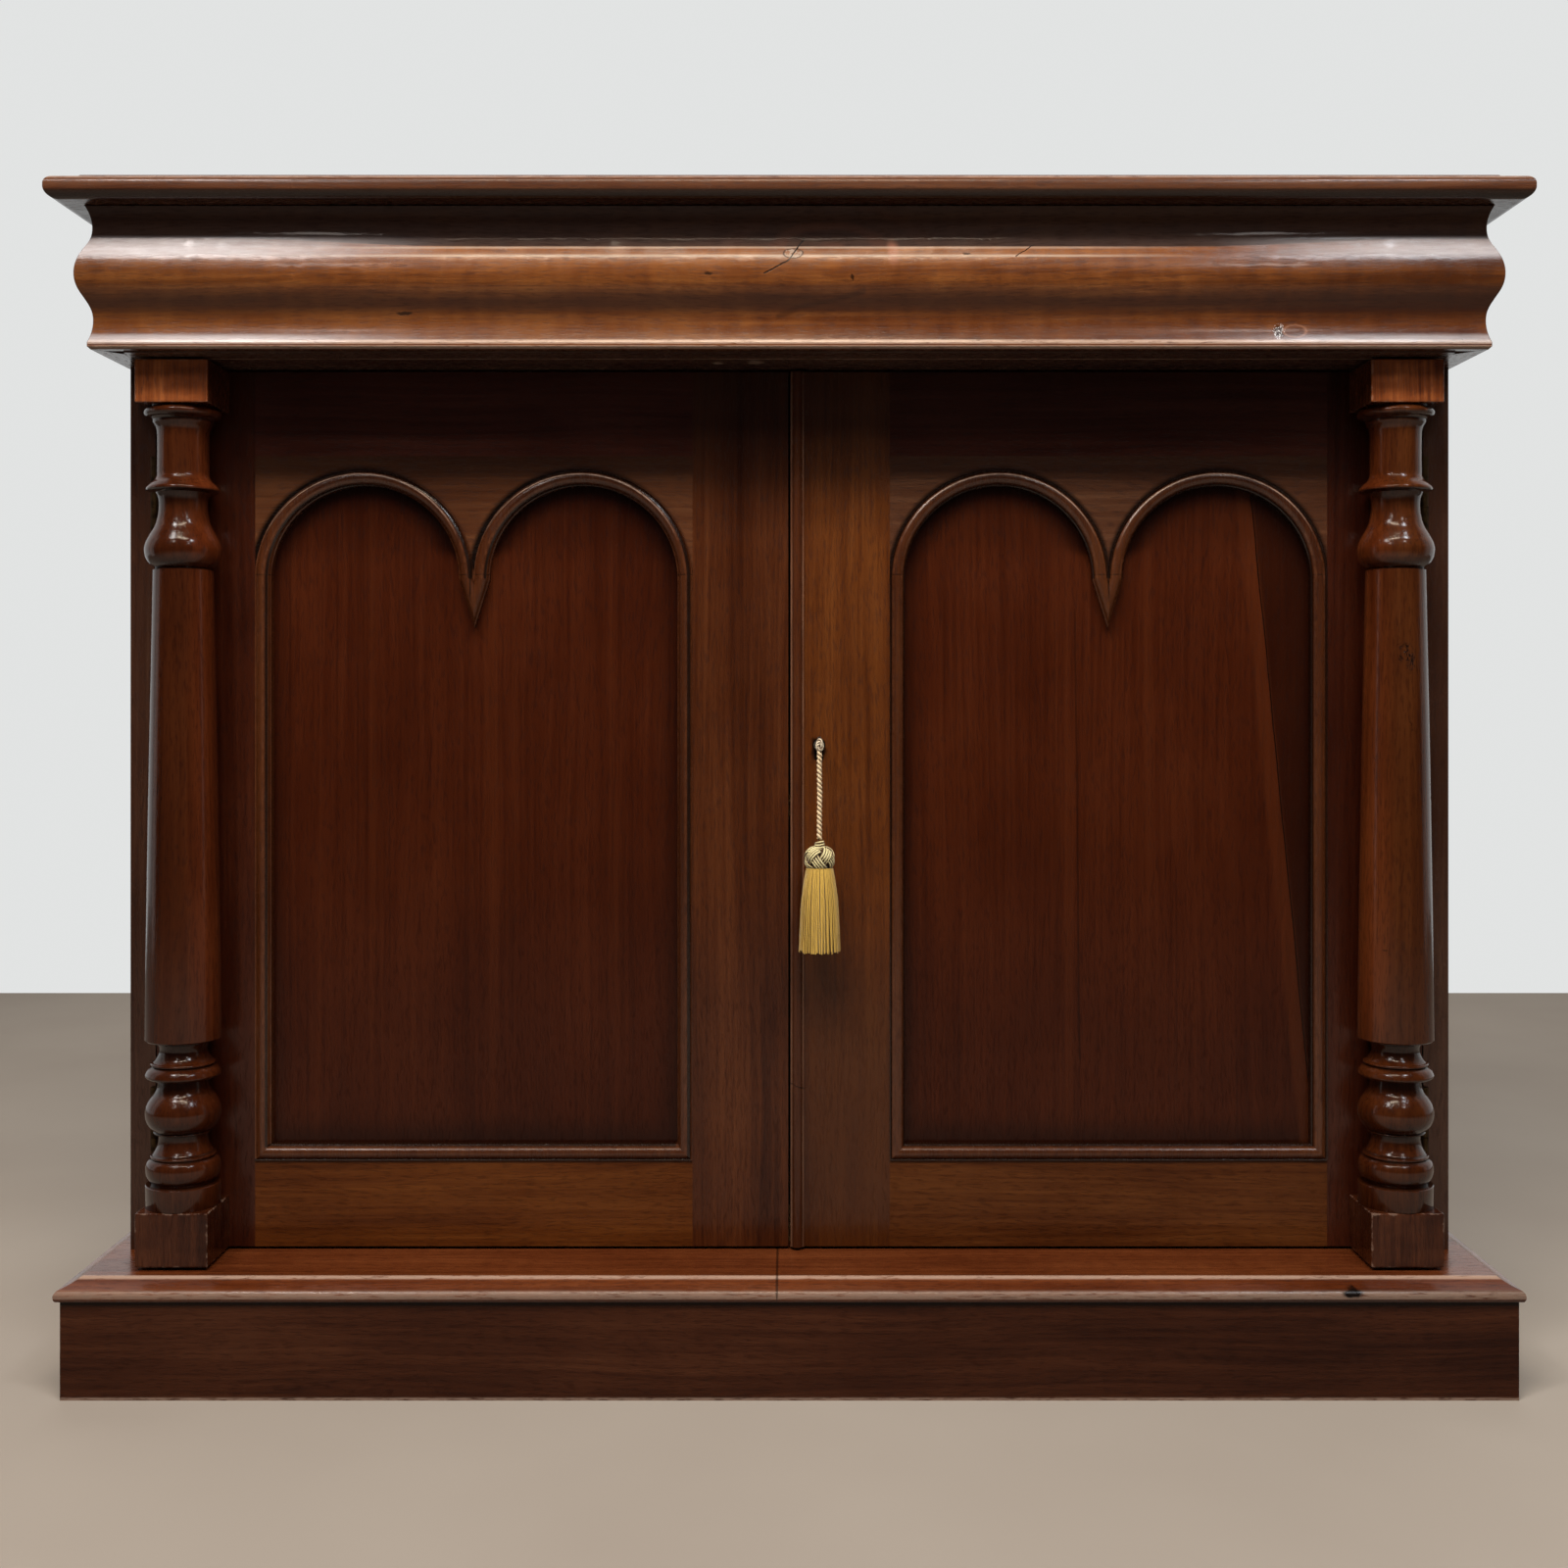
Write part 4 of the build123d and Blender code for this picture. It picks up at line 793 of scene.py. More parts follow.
# %% [markdown]
# The floor is a matte pale ground that keeps the shadow under the plinth. What it sends
# back to the boards is held down, as a grey cloth laid in front of the piece would do,
# because light from below flattens every moulding.

# %% Paint the floor
plain = Finish("pale_floor")
cloudy = plain.noise(plain.place(), 2.5, 3.0, 0.5)
tone = plain.ramp(cloudy, [(0.3, (0.42, 0.36, 0.305)), (0.7, (0.46, 0.40, 0.34))])
pale = plain.node("BsdfDiffuse", None, {"Color": tone})
held = plain.node("BsdfDiffuse", None, {"Color": (0.08, 0.065, 0.05, 1.0)})
bounced = plain.node("LightPath", output="Is Diffuse Ray")
plain.close(plain.node("MixShader", None, {0: bounced, 1: pale, 2: held}))
floor_mesh.materials.append(plain.material)
print("floor painted")

# %% [markdown]
# ## Mahogany
#
# Mahogany is red-brown, with fine dark pores along the grain, slow bands where the tree
# grew, and a cloudy figure across it where the light catches. Over that lie layers of
# shellac that pooled, wore and crazed a little. The pattern is the same for every board,
# but each board has its own grain direction, its own stretch of tree and its own depth of
# colour, so one function takes those and returns a new material. Marks that only one board
# has, such as a knot or a split, come from a second function that is handed in.


# %% Tones of a board
def tones_of(colour):
    """Dark, middle and light tones of a board, from its middle colour."""
    dark = tuple(value * low for value, low in zip(colour, (0.46, 0.38, 0.38)))
    light = tuple(value * high for value, high in zip(colour, (1.60, 1.85, 1.95)))
    return dark, colour, light


def grain_scale(grain, wide, long):
    """Scale of a pattern that is wide across the grain and long along it."""
    return tuple(long if letter == grain else wide for letter in "xyz")


print("a brown board's dark tone:", tones_of((0.066, 0.018, 0.005))[0])

# %% [markdown]
# Five noises make the grain. One bends it a little, and the others are its broad bands,
# its lines, its pores and the clouds across it. They drive the colour, the roughness and a
# very shallow bump together, so that a pore is dark, dull and sunk at the same place.


# %% Mix the mahogany
def mahogany(name, grain, colour, tree, figure, streak, mottle, shine, marks):
    """Polished mahogany with its grain along x, y or z, cut from its own part of a tree."""
    wood = Finish(name)
    tones = tones_of(colour)
    place = wood.place((tree, 1.7 * tree, 0.6 * tree))
    drift = wood.stretched(place, grain_scale(grain, 7.0, 1.6), 2.0, output="Color")
    bent = wood.vector("ADD", place, wood.vector("MULTIPLY", drift, (0.035, 0.035, 0.035)))
    bands = wood.stretched(bent, grain_scale(grain, 24.0, 1.2), 3.0, 0.5)
    lines = wood.stretched(bent, grain_scale(grain, 240.0, 4.5), 4.0, 0.65)
    hairs = wood.stretched(bent, grain_scale(grain, 760.0, 105.0), 2.0, 0.5)
    clouds = wood.noise(place, 7.0, 3.0, 0.55)
    body = 0.5 + (bands - 0.5) * figure + (lines - 0.5) * (0.8 * streak) + (clouds - 0.5) * 0.5
    if mottle:
        ripple = wood.stretched(bent, grain_scale(grain, 30.0, 75.0), 3.0, 0.5)
        body = body + (ripple - 0.5) * mottle
    shade = wood.ramp(body, [(0.2, tones[0]), (0.5, tones[1]), (0.8, tones[2])])
    pores = hairs.step(0.50, 0.66)
    shade = wood.mix(pores * 0.55, shade, wood.mix(1.0, shade, (0.42, 0.36, 0.36), "MULTIPLY"))
    wear = wood.noise(place, 34.0, 4.0, 0.65)
    satin = wear * 0.22 + 0.13 + pores * 0.12
    swell = wood.stretched(place, grain_scale(grain, 16.0, 5.0), 2.0, 0.4)
    height = lines * 0.35 + hairs * 0.35 - pores * 0.6
    if marks:
        shade, height, satin = marks(wood, shade, height, satin)
    relief = wood.bump(height, 0.00012, 0.5, wood.bump(swell, 0.003, 0.2))
    wood.polish(
        Base_Color=shade,
        Roughness=satin,
        Normal=relief,
        Specular_IOR_Level=shine,
        Coat_Weight=0.3 * shine,
        Coat_Roughness=0.08,
    )
    return wood.material


print("mahogany mixed")

# %% [markdown]
# ## Marks of age
#
# A split is a dark line that follows the grain. A knot is a small dark oval with a paler
# rim. A worn arris is where the polish is gone and the wood shows pink and dusty, and many
# arrises carry a painted highlight too. Painted shade darkens quirks and coves, and painted
# shadow lies under overhangs. Each is drawn as a distance, so it stays sharp from any angle.
# The drawer front has the most of them, so they are drawn in three steps and put together
# in a fourth.

# %% Painted shade and painted highlights on the drawer front
# Pale of worn arrises and of painted highlights; near-black of cracks, joints and dents, and of painted shade
# in quirks and under mouldings.
PALE_WEAR_AND_HIGHLIGHT = (0.62, 0.42, 0.31)
DARK_MARKS_AND_SHADE = (0.006, 0.0025, 0.0015)


def frieze_ends(side):
    """1 at the two ends of the drawer front, and 0 in its middle."""
    return side.step(-0.24, -0.44).most(side.step(0.30, 0.48) * 0.9)


def frieze_shade_and_dark_ends(wood, start, shade):
    """Painted shadow of the top in the upper cove, painted shade under the belly and in the lower cove, and
    darker towards the ends.
    """
    up = wood.axis(start, "Z")
    side = wood.axis(start, "X")
    # Painted shadow: the top's overhang shades the upper cove, down to a crisp edge that lies lower in the
    # middle than at the ends.
    cove_shadow = (up - frieze_ends(side) * 0.0070).step(0.8678, 0.8694)
    shade = wood.mix(cove_shadow * 0.86, shade, (0.010, 0.0026, 0.0018))
    flank = side.size().step(0.30, 0.52) * up.band(0.812, 0.872, 0.004)
    shade = wood.mix(flank * 0.30, shade, (0.060, 0.022, 0.008))
    # Painted shade under the belly, where the ogee faces down; its edge wavers with a noise.
    tide = wood.stretched(start, (5.0, 9.0, 90.0), 3.0, 0.6)
    under = (up + (tide - 0.5) * 0.010).band(0.8180, 0.8335, 0.0068)
    shade = wood.mix(under * 0.78, shade, (0.024, 0.0040, 0.0005))
    # Painted shade in the lower cove.
    shade = wood.mix(up.step(0.8200, 0.8140) * 0.30, shade, (0.050, 0.0070, 0.0010))
    return shade, cove_shadow, under


def frieze_figure(wood, start, shade):
    """A whorl in the grain, a pink patch beside it, and painted highlight lines in cream along the crest."""
    up = wood.axis(start, "Z")
    side = wood.axis(start, "X")
    swirl = wood.shaken(start, 22.0, 0.003)
    rings = wood.spot(swirl, (0.030, 0.0, 0.866), (0.050, 1.0, 0.024))
    arcs = (rings * 9.0 + wood.noise(start, 60.0, 3.0) * 1.4).sine()
    near = rings.step(2.1, 0.5)
    shade = wood.mix(near * arcs.step(-0.2, 1.0) * 0.35, shade, (0.10, 0.026, 0.007))
    blush = wood.spot(swirl, (0.079, 0.0, 0.864), (0.006, 1.0, 0.013)).step(1.1, 0.2)
    shade = wood.mix(blush * 0.55, shade, (0.42, 0.16, 0.09))
    # Painted highlight: two cream lines and a faint cream sheen along the crest of the ogee, away from the
    # ends.
    crest = up.band(0.8598, 0.8690, 0.0008) * (1.0 - frieze_ends(side)) * side.step(0.33, 0.18)
    lines = up.band(0.8670, 0.8686, 0.0006) + up.band(0.8598, 0.8618, 0.0008) * 1.3
    cream = wood.stretched(start, (9.0, 60.0, 900.0), 3.0, 0.6).step(0.25, 0.75)
    return wood.mix(crest * (cream * 0.08 + lines * 0.26), shade, (0.74, 0.60, 0.46))


print("drawer front polished")

# %% Damage to the drawer front
SPLIT = [(0.0110, 0.8750), (0.0059, 0.8672), (-0.0004, 0.8575), (-0.0189, 0.8470)]
SCARS = [
    ((-0.0607, 0, 0.8469), (0.0042, 1, 0.0018)),
    ((-0.2908, 0, 0.8190), (0.0080, 1, 0.0018)),
    ((0.5060, 0, 0.7985), (0.0016, 1, 0.0014)),
    ((0.1330, 0, 0.8625), (0.0040, 1, 0.0012)),
    ((0.0470, 0, 0.8445), (0.0018, 1, 0.0030)),
    ((0.3690, 0, 0.8055), (0.0050, 1, 0.0062)),
]


def frieze_damage(wood, start, shade):
    """A split with filler in it, scars, a dark streak, and a knot with chips round it."""
    shaky = wood.shaken(start, 260.0, 0.0004)
    plug = wood.spot(shaky, (0.0028, 0.0, 0.8630), (0.0078, 1.0, 0.0042))
    filler = plug.step(1.05, 0.75) * wood.noise(start, 420.0, 3.0, 0.7).step(0.47, 0.58)
    shade = wood.mix(filler * 0.50, shade, (0.46, 0.40, 0.33))
    cut = wood.crooked(shaky, SPLIT).step(0.0007, 0.0003).most(plug.band(0.86, 1.02, 0.05) * 0.7)
    for middle, half in SCARS:
        cut = cut.most(wood.spot(wood.shaken(start, 300.0, 0.0007), middle, half).step(1.0, 0.5) * 0.8)
    cut = cut.most(wood.stroke(shaky, (0.1835, 0.8700), (0.1700, 0.8605)).step(0.0005, 0.0002))
    streak = wood.stroke(wood.shaken(start, 22.0, 0.003), (-0.0090, 0.8180), (0.0560, 0.8345))
    shade = wood.mix(streak.step(0.0030, 0.0004) * 0.45, shade, (0.022, 0.0045, 0.001))
    shade = wood.mix(cut.least(1.0), shade, (0.003, 0.0012, 0.0008))
    eye = wood.spot(shaky, (0.3810, 0.0, 0.8058), (0.0095, 1.0, 0.0052))
    shade = wood.mix(eye.band(0.80, 1.0, 0.12) * 0.5, shade, (0.40, 0.18, 0.10))
    socket = wood.spot(start, (0.3690, 0, 0.8055), (0.0052, 1, 0.0070)).step(1.0, 0.8)
    chips = wood.noise(start, 900.0, 2.0).step(0.55, 0.62) * socket
    return wood.mix(chips, shade, (0.75, 0.68, 0.66)), cut, filler


print("scars on the drawer front:", len(SCARS))


# %% All marks of the drawer front
def frieze_marks(wood, shade, height, satin):
    """Painted shade, figure and damage, then the lips pale from wear and painted highlight, the crazed cove
    and a painted sheen at the ends.
    """
    start = wood.here()
    up = wood.axis(start, "Z")
    side = wood.axis(start, "X")
    shade, cove_shadow, under = frieze_shade_and_dark_ends(wood, start, shade)
    shade = frieze_figure(wood, start, shade)
    shade, cut, filler = frieze_damage(wood, start, shade)
    # The lip's arrises are pale: part wear, part painted highlight, broken up by a noise.
    bruise = wood.stretched(start, (90.0, 300.0, 700.0), 4.0, 0.7)
    lip = (up.band(0.7925, 0.7945, 0.0004) + up.band(0.7958, 0.7990, 0.0006)) * bruise.step(0.25, 0.50)
    shade = wood.mix(lip * 0.70, shade, PALE_WEAR_AND_HIGHLIGHT)
    crazed = wood.stretched(start, (260.0, 400.0, 900.0), 3.0, 0.7).step(0.60, 0.72)
    crazed = crazed * side.step(-0.20, -0.45).most(side.step(0.20, 0.45)) * up.step(0.840, 0.860)
    satin = satin + cove_shadow * 0.40 + crazed * 0.25 + under * 0.18
    shade = wood.mix(crazed * 0.35, shade, DARK_MARKS_AND_SHADE)
    # Painted sheen: a hazy pale grey over the crest and the lip at both ends.
    end_sheen = frieze_ends(side) * (up.band(0.8605, 0.8755, 0.0030) + up.band(0.7965, 0.8030, 0.0020) * 0.7)
    end_sheen = end_sheen * (0.55 + wood.stretched(start, (40.0, 200.0, 400.0), 3.0, 0.6) * 0.6)
    shade = wood.mix(end_sheen * 0.85, shade, (0.58, 0.54, 0.55))
    return shade, height - cut * 3.0 - crazed * 1.2 + filler * 0.6, satin


print("drawer front marks drawn")

# %% [markdown]
# Painted shade, painted highlights and wear follow the bead round both arches, so its marks
# need to know how far a point lies inside the bead's outer edge. Below the springing that
# is the distance from a straight leg, and above it the distance from a half circle. Both
# doors share one formula, because they mirror each other.


# %% How deep a point lies inside an arched bead
arch_low, arch_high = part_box("right_door_bead")
bead_middle = (arch_low.x + arch_high.x) / 2
arch_radius = (arch_high.x - arch_low.x) / 4
springing = arch_high.z - arch_radius


def inside_bead(wood, soft=0.001):
    """Metres inwards from the bead's outer edge, and 1 where a point is above the springing."""
    start = wood.here()
    up = wood.axis(start, "Z")
    side = (wood.axis(start, "X").size() - bead_middle).size()
    rise = (up - springing).most(0.0)
    across = side - arch_radius
    arch = arch_radius - (across * across + rise * rise).root()
    leg = (2 * arch_radius - side).least(up - arch_low.z)
    above = up.step(springing - soft, springing + soft)
    return leg + (arch - leg) * above, above


print("arches spring at", round(springing / mm, 1), "mm")

# %% [markdown]
# The panels lie deepest, and so their polish is the least worn: fine ribbons, painted
# shadow inside the bead and under the arches, and a darkening towards the foot that is part
# dirt, part painted shade. The right one has split.


# %% Marks on the panels
def panel_marks(wood, shade, height, satin):
    """Fine ribbon streaks, a darkening towards the foot that is part dirt and part painted shade, and painted
    shadow inside the bead.
    """
    start = wood.here()
    up = wood.axis(start, "Z")
    ribbon = wood.stretched(start, (60.0, 60.0, 0.8), 3.0, 0.55)
    fine = wood.stretched(start, (420.0, 420.0, 2.2), 3.0, 0.6)
    shade = wood.mix(ribbon.step(0.52, 0.70) * 0.28, shade, (0.110, 0.024, 0.006))
    shade = wood.mix(fine.step(0.52, 0.72) * 0.35, shade, (0.018, 0.0035, 0.0014))
    # Darker towards the foot: a strip of dirt and painted shade just above the lower bead, and a slow painted
    # shade up the panel.
    dirt_and_shade_below = up.step(0.205, 0.165) * 0.5 + up.step(0.55, 0.20) * 0.18
    shade = wood.mix(dirt_and_shade_below, shade, (0.016, 0.0035, 0.0015))
    # Painted shadow inside the bead, deepest under the arches.
    inside, above = inside_bead(wood, 0.030)
    corner = (inside - 0.012).step(0.024, 0.0) * (above * 0.35 + 0.45)
    shade = wood.mix(corner, shade, (0.008, 0.0018, 0.0010))
    return shade, height, satin


def spandrel_marks(wood, shade, height, satin):
    """Painted shade in the quirk beside the bead, and painted shadow of the drawer along the top."""
    up = wood.axis(wood.here(), "Z")
    inside, above = inside_bead(wood)
    # Painted shade in the quirk beside the bead.
    shade = wood.mix(inside.step(-0.0045, 0.0), shade, DARK_MARKS_AND_SHADE)
    # Painted shadow of the drawer along the top of the arch board.
    shade = wood.mix(up.step(0.700, 0.712) * 0.62, shade, (0.012, 0.0030, 0.0018))
    return shade, height, satin


def bead_marks(wood, shade, height, satin):
    """Painted shade in the quirks, a dark joint where each arch meets its leg, a crown pale from wear and
    painted highlight, a painted highlight on the arches and a cleft between them.
    """
    up = wood.axis(wood.here(), "Z")
    inside, above = inside_bead(wood)
    # Painted shade in the quirks at both edges of the bead.
    quirk = inside.band(-0.001, 0.0016, 0.0004).most(inside.band(0.0108, 0.0125, 0.0004))
    joint = up.band(springing + 0.0038, springing + 0.0044, 0.0002)
    shade = wood.mix(quirk.most(joint) * 0.85, shade, DARK_MARKS_AND_SHADE)
    # The crown is pale in two lines: part wear, broken by a noise, part painted highlight, stronger on the
    # arches.
    rub = wood.noise(wood.here(), 160.0, 4.0, 0.7).step(0.35, 0.65)
    crown = inside.band(0.0020, 0.0036, 0.0006) * 0.5 + inside.band(0.0084, 0.0100, 0.0006) * 0.6
    shade = wood.mix(crown * rub * (0.3 + above * 0.25), shade, (0.25, 0.088, 0.036))
    # Painted highlight: a pale line along the top of each arch.
    glint = inside.band(0.0026, 0.0034, 0.0005) * above * up.step(springing + 0.030, springing + 0.070)
    shade = wood.mix(glint * (0.6 + rub * 0.4), shade, PALE_WEAR_AND_HIGHLIGHT)
    middle = (wood.axis(wood.here(), "X").size() - bead_middle).size()
    cleft = middle.step(0.0012, 0.0002) * up.step(springing - 0.022, springing - 0.010)
    shade = wood.mix(cleft * 0.75, shade, DARK_MARKS_AND_SHADE)
    return shade, height, satin


def split_panel_marks(wood, shade, height, satin):
    """The right panel has split from top to foot, and is darker beyond the split."""
    shade, height, satin = panel_marks(wood, shade, height, satin)
    start = wood.shaken(wood.here(), 14.0, 0.0006)
    top = (0.3700, 0.6950)
    foot = (0.4225, 0.1615)
    lean = (foot[0] - top[0]) / (top[1] - foot[1])
    beyond = wood.axis(start, "X") - top[0] + (wood.axis(start, "Z") - top[1]) * lean
    above = wood.axis(start, "Z").step(0.715, 0.690)
    shade = wood.mix(beyond.step(0.0002, 0.0016) * above * 0.62, shade, (0.012, 0.0028, 0.0012))
    shade = wood.mix(beyond.band(-0.012, 0.0, 0.003) * above * 0.22, shade, (0.14, 0.032, 0.008))
    cut = wood.stroke(start, top, foot).step(0.0007, 0.0002)
    shade = wood.mix(cut, shade, DARK_MARKS_AND_SHADE)
    vein = wood.stroke(start, (0.2290, 0.60), (0.2330, 0.24)).step(0.0012, 0.0002)
    shade = wood.mix(vein * 0.45, shade, DARK_MARKS_AND_SHADE)
    return shade, height - cut * 3.0, satin


print("panel marks drawn")

# %% [markdown]
# Round the doors the wear is plainer. The astragal's two arrises are rubbed by the other
# door and carry a painted highlight, the rail is chipped under the drawer, and the stiles
# carry a painted shadow of the drawer at their tops.


# %% Marks on the astragal, the rail and the stiles
def astragal_marks(wood, shade, height, satin):
    """Two arrises pale from rubbing and painted highlight, and a crack across the moulding low down where it
    was joined.
    """
    low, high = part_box("astragal")
    start = wood.here()
    side = wood.axis(start, "X")
    up = wood.axis(start, "Z")
    # The two arrises are pale: part wear, part painted highlight on the rounded moulding.
    rub = wood.stretched(start, (200.0, 200.0, 14.0), 3.0, 0.6).step(0.3, 0.7)
    left = side.band(low.x + 0.0004, low.x + 0.0016, 0.0004)
    right = side.band(high.x - 0.0016, high.x - 0.0004, 0.0004)
    shade = wood.mix(left.most(right) * (0.10 + rub * 0.22), shade, (0.50, 0.27, 0.16))
    shade = wood.mix(up.step(0.40, 0.20) * 0.4, shade, (0.030, 0.0080, 0.0032))
    crack = (up + side * 0.4 - 0.2230).size().step(0.0006, 0.0002)
    return wood.mix(crack * 0.8, shade, DARK_MARKS_AND_SHADE), height - crack * 2.0, satin


RAIL_LINE = -0.170
RAIL_CHIPS = [
    ((-0.0260, -0.1560, 0), (0.0090, 0.0110, 1)),
    ((-0.0560, -0.1530, 0), (0.0050, 0.0070, 1)),
]


def rail_marks(wood, shade, height, satin):
    """The rail under the drawer: a rubbed line below its front, and dusty chips near the middle."""
    start = wood.here()
    edge = wood.axis(start, "Y").band(RAIL_LINE - 0.0010, RAIL_LINE + 0.0010, 0.0006)
    rub = wood.stretched(start, (30.0, 200.0, 400.0), 4.0, 0.7).step(0.35, 0.6)
    shade = wood.mix(edge * (0.45 + rub * 0.55), shade, (0.95, 0.72, 0.58))
    rough = wood.shaken(start, 220.0, 0.0012)
    for middle, half in RAIL_CHIPS:
        chip = wood.spot(rough, middle, half, flat=(1, 1, 0)).step(1.0, 0.4) * rub
        shade = wood.mix(chip * 0.9, shade, (0.80, 0.68, 0.55))
    return shade, height, satin


def shaded_stile_marks(wood, shade, height, satin):
    """Painted shadow of the drawer over the top of the stile."""
    up = wood.axis(wood.here(), "Z")
    # Painted shadow: the drawer shades the top of the stile.
    return wood.mix(up.step(0.66, 0.75) * 0.50, shade, (0.014, 0.0040, 0.0020)), height, satin


def golden_stile_marks(wood, shade, height, satin):
    """The right meeting stile is golden, browner towards the foot, and stained at the keyhole."""
    start = wood.here()
    up = wood.axis(start, "Z")
    cloud = wood.noise(start, 9.0, 3.0) - 0.5
    brown = (up + cloud * 0.10).step(0.38, 0.24)
    shade = wood.mix(brown * 0.62, shade, (0.036, 0.0085, 0.0018))
    stain = wood.spot(wood.shaken(start, 150.0, 0.0022), (0.0228, 0, 0.4888), (0.0078, 1, 0.0105))
    shade = wood.mix(stain.step(1.0, 0.6) * 0.85, shade, DARK_MARKS_AND_SHADE)
    return shaded_stile_marks(wood, shade, height, satin)


print("door marks drawn")

# %% [markdown]
# Brooms and shoes rub an edge first. On a moulding the pale strips, part wear and part
# painted highlight, run between two heights, and so does a dark band of painted shade under
# a nose, so a pair of numbers says where each one is.


# %% Pale strips and painted shade on mouldings
def pale_strips_and_shade_band(spans, depth, dark):
    """Marks for a long moulding: pale strips of wear and painted highlight, and a band of painted shade,
    between pairs of heights.
    """

    def marks(wood, shade, height, satin):
        start = wood.here()
        up = wood.axis(start, "Z")
        rub = wood.stretched(start, (70.0, 260.0, 700.0), 5.0, 0.7)
        # Painted shade in the dark band under the moulding's nose.
        shade = wood.mix(up.band(*dark, 0.001) * 0.8, shade, DARK_MARKS_AND_SHADE)
        # Pale strips, part wear and part painted highlight.
        for span in spans:
            strip = up.band(*span, 0.0008) * rub.step(0.32, 0.55)
            shade = wood.mix(strip * depth, shade, PALE_WEAR_AND_HIGHLIGHT)
        return shade, height, satin

    return marks


def plinth_marks(wood, shade, height, satin):
    """An arris and nose pale from wear and painted highlight, a hollow near the right end and a nick near the
    middle.
    """
    start = wood.here()
    up = wood.axis(start, "Z")
    front = wood.axis(start, "Y")
    rub = wood.stretched(start, (60.0, 300.0, 600.0), 5.0, 0.72)
    # The top arris and the nose are pale: painted highlight, broken by wear.
    edge = front.band(-0.1945, -0.1905, 0.0010) * up.step(0.0870, 0.0890) * rub.step(0.30, 0.48)
    nose = up.band(0.0775, 0.0830, 0.0010) * rub.step(0.30, 0.50)
    shade = wood.mix(edge * 0.62, shade, PALE_WEAR_AND_HIGHLIGHT)
    shade = wood.mix(nose * 0.44, shade, (0.50, 0.36, 0.27))
    rough = wood.shaken(start, 160.0, 0.001)
    hollow = wood.spot(rough, (0.4235, 0, 0.0815), (0.0100, 1, 0.0042)).step(1.0, 0.5)
    tick = wood.spot(start, (-0.0095, 0, 0.086), (0.0012, 1, 0.012)).step(1.0, 0.6)
    shade = wood.mix(hollow.most(tick * 0.7), shade, DARK_MARKS_AND_SHADE)
    return shade, height - hollow * 3.0, satin + edge * 0.1


print("mouldings worn")

# %% [markdown]
# A turned column has thin dark rings in its hollows, and polish stays on its bulbs. The
# front of each bulb mirrors the dim room, and its flank turns to the lamps, so the colour
# there is lifted as well, a painted highlight on the inner flank. The square blocks are
# pale along every arris instead, from wear and painted highlight, and the upper block is
# painted lighter, as if lit.

# %% Marks on the columns
COLUMN_AXIS = 0.474
COLUMN_RINGS = (0.1518, 0.1714, 0.1750, 0.1904, 0.1926, 0.2428, 0.2615, 0.6300, 0.6902, 0.7455)
COLUMN_DENTS = [
    ((-0.4860, 0, 0.4600), (0.0009, 1, 0.0070)),
    ((0.4580, 0, 0.3350), (0.0022, 1, 0.0009)),
]


def column_marks(burr):
    """Marks for a turned column: dark rings in the hollows, a painted highlight on the inner flank, and a
    burr on one of them.
    """

    def marks(wood, shade, height, satin):
        start = wood.here()
        up = wood.axis(start, "Z")
        for level in COLUMN_RINGS:
            ring = up.band(level - 0.0008, level + 0.0008, 0.0007)
            shade = wood.mix(ring * 0.65, shade, DARK_MARKS_AND_SHADE)
        # Painted highlight: the inner flank of each column is lifted in colour, a little at the foot and most
        # above it.
        inner = (COLUMN_AXIS - wood.axis(start, "X").size()).step(0.006, 0.024)
        flank = inner * (0.20 + up.step(0.24, 0.30) * 0.70)
        shade = wood.mix(flank, shade, wood.mix(1.0, shade, (2.0, 1.8, 1.8), "MULTIPLY"))
        if burr:
            rough = wood.shaken(start, 90.0, 0.004)
            patch = wood.spot(rough, (0.4755, 0.0, 0.5600), (0.0075, 1.0, 0.0160), 20).step(1.0, 0.35)
            below = wood.spot(rough, (0.4760, 0.0, 0.5090), (0.0030, 1.0, 0.0050)).step(1.0, 0.35)
            veins = wood.stretched(rough, (700.0, 300.0, 160.0), 4.0, 0.7).step(0.46, 0.58)
            shade = wood.mix(patch.most(below) * veins * 0.85, shade, DARK_MARKS_AND_SHADE)
            height = height - patch * veins * 1.5
        for middle, half in COLUMN_DENTS:
            dent = wood.spot(start, middle, half).step(1.0, 0.5)
            shade = wood.mix(dent * 0.5, shade, DARK_MARKS_AND_SHADE)
        return shade, height, satin * 0.62

    return marks


print("rings on a column:", len(COLUMN_RINGS))


# %% Marks on the blocks
def near_edge(wood, low, high):
    """How far a point on a box is from the box's nearest edge."""
    start = wood.here()
    gaps = []
    for letter, first, last in zip("XYZ", low, high):
        here = wood.axis(start, letter)
        gaps.append((here - first).least(last - here).size())
    x, y, z = gaps
    return x.least(y).most(x.most(y).least(z))


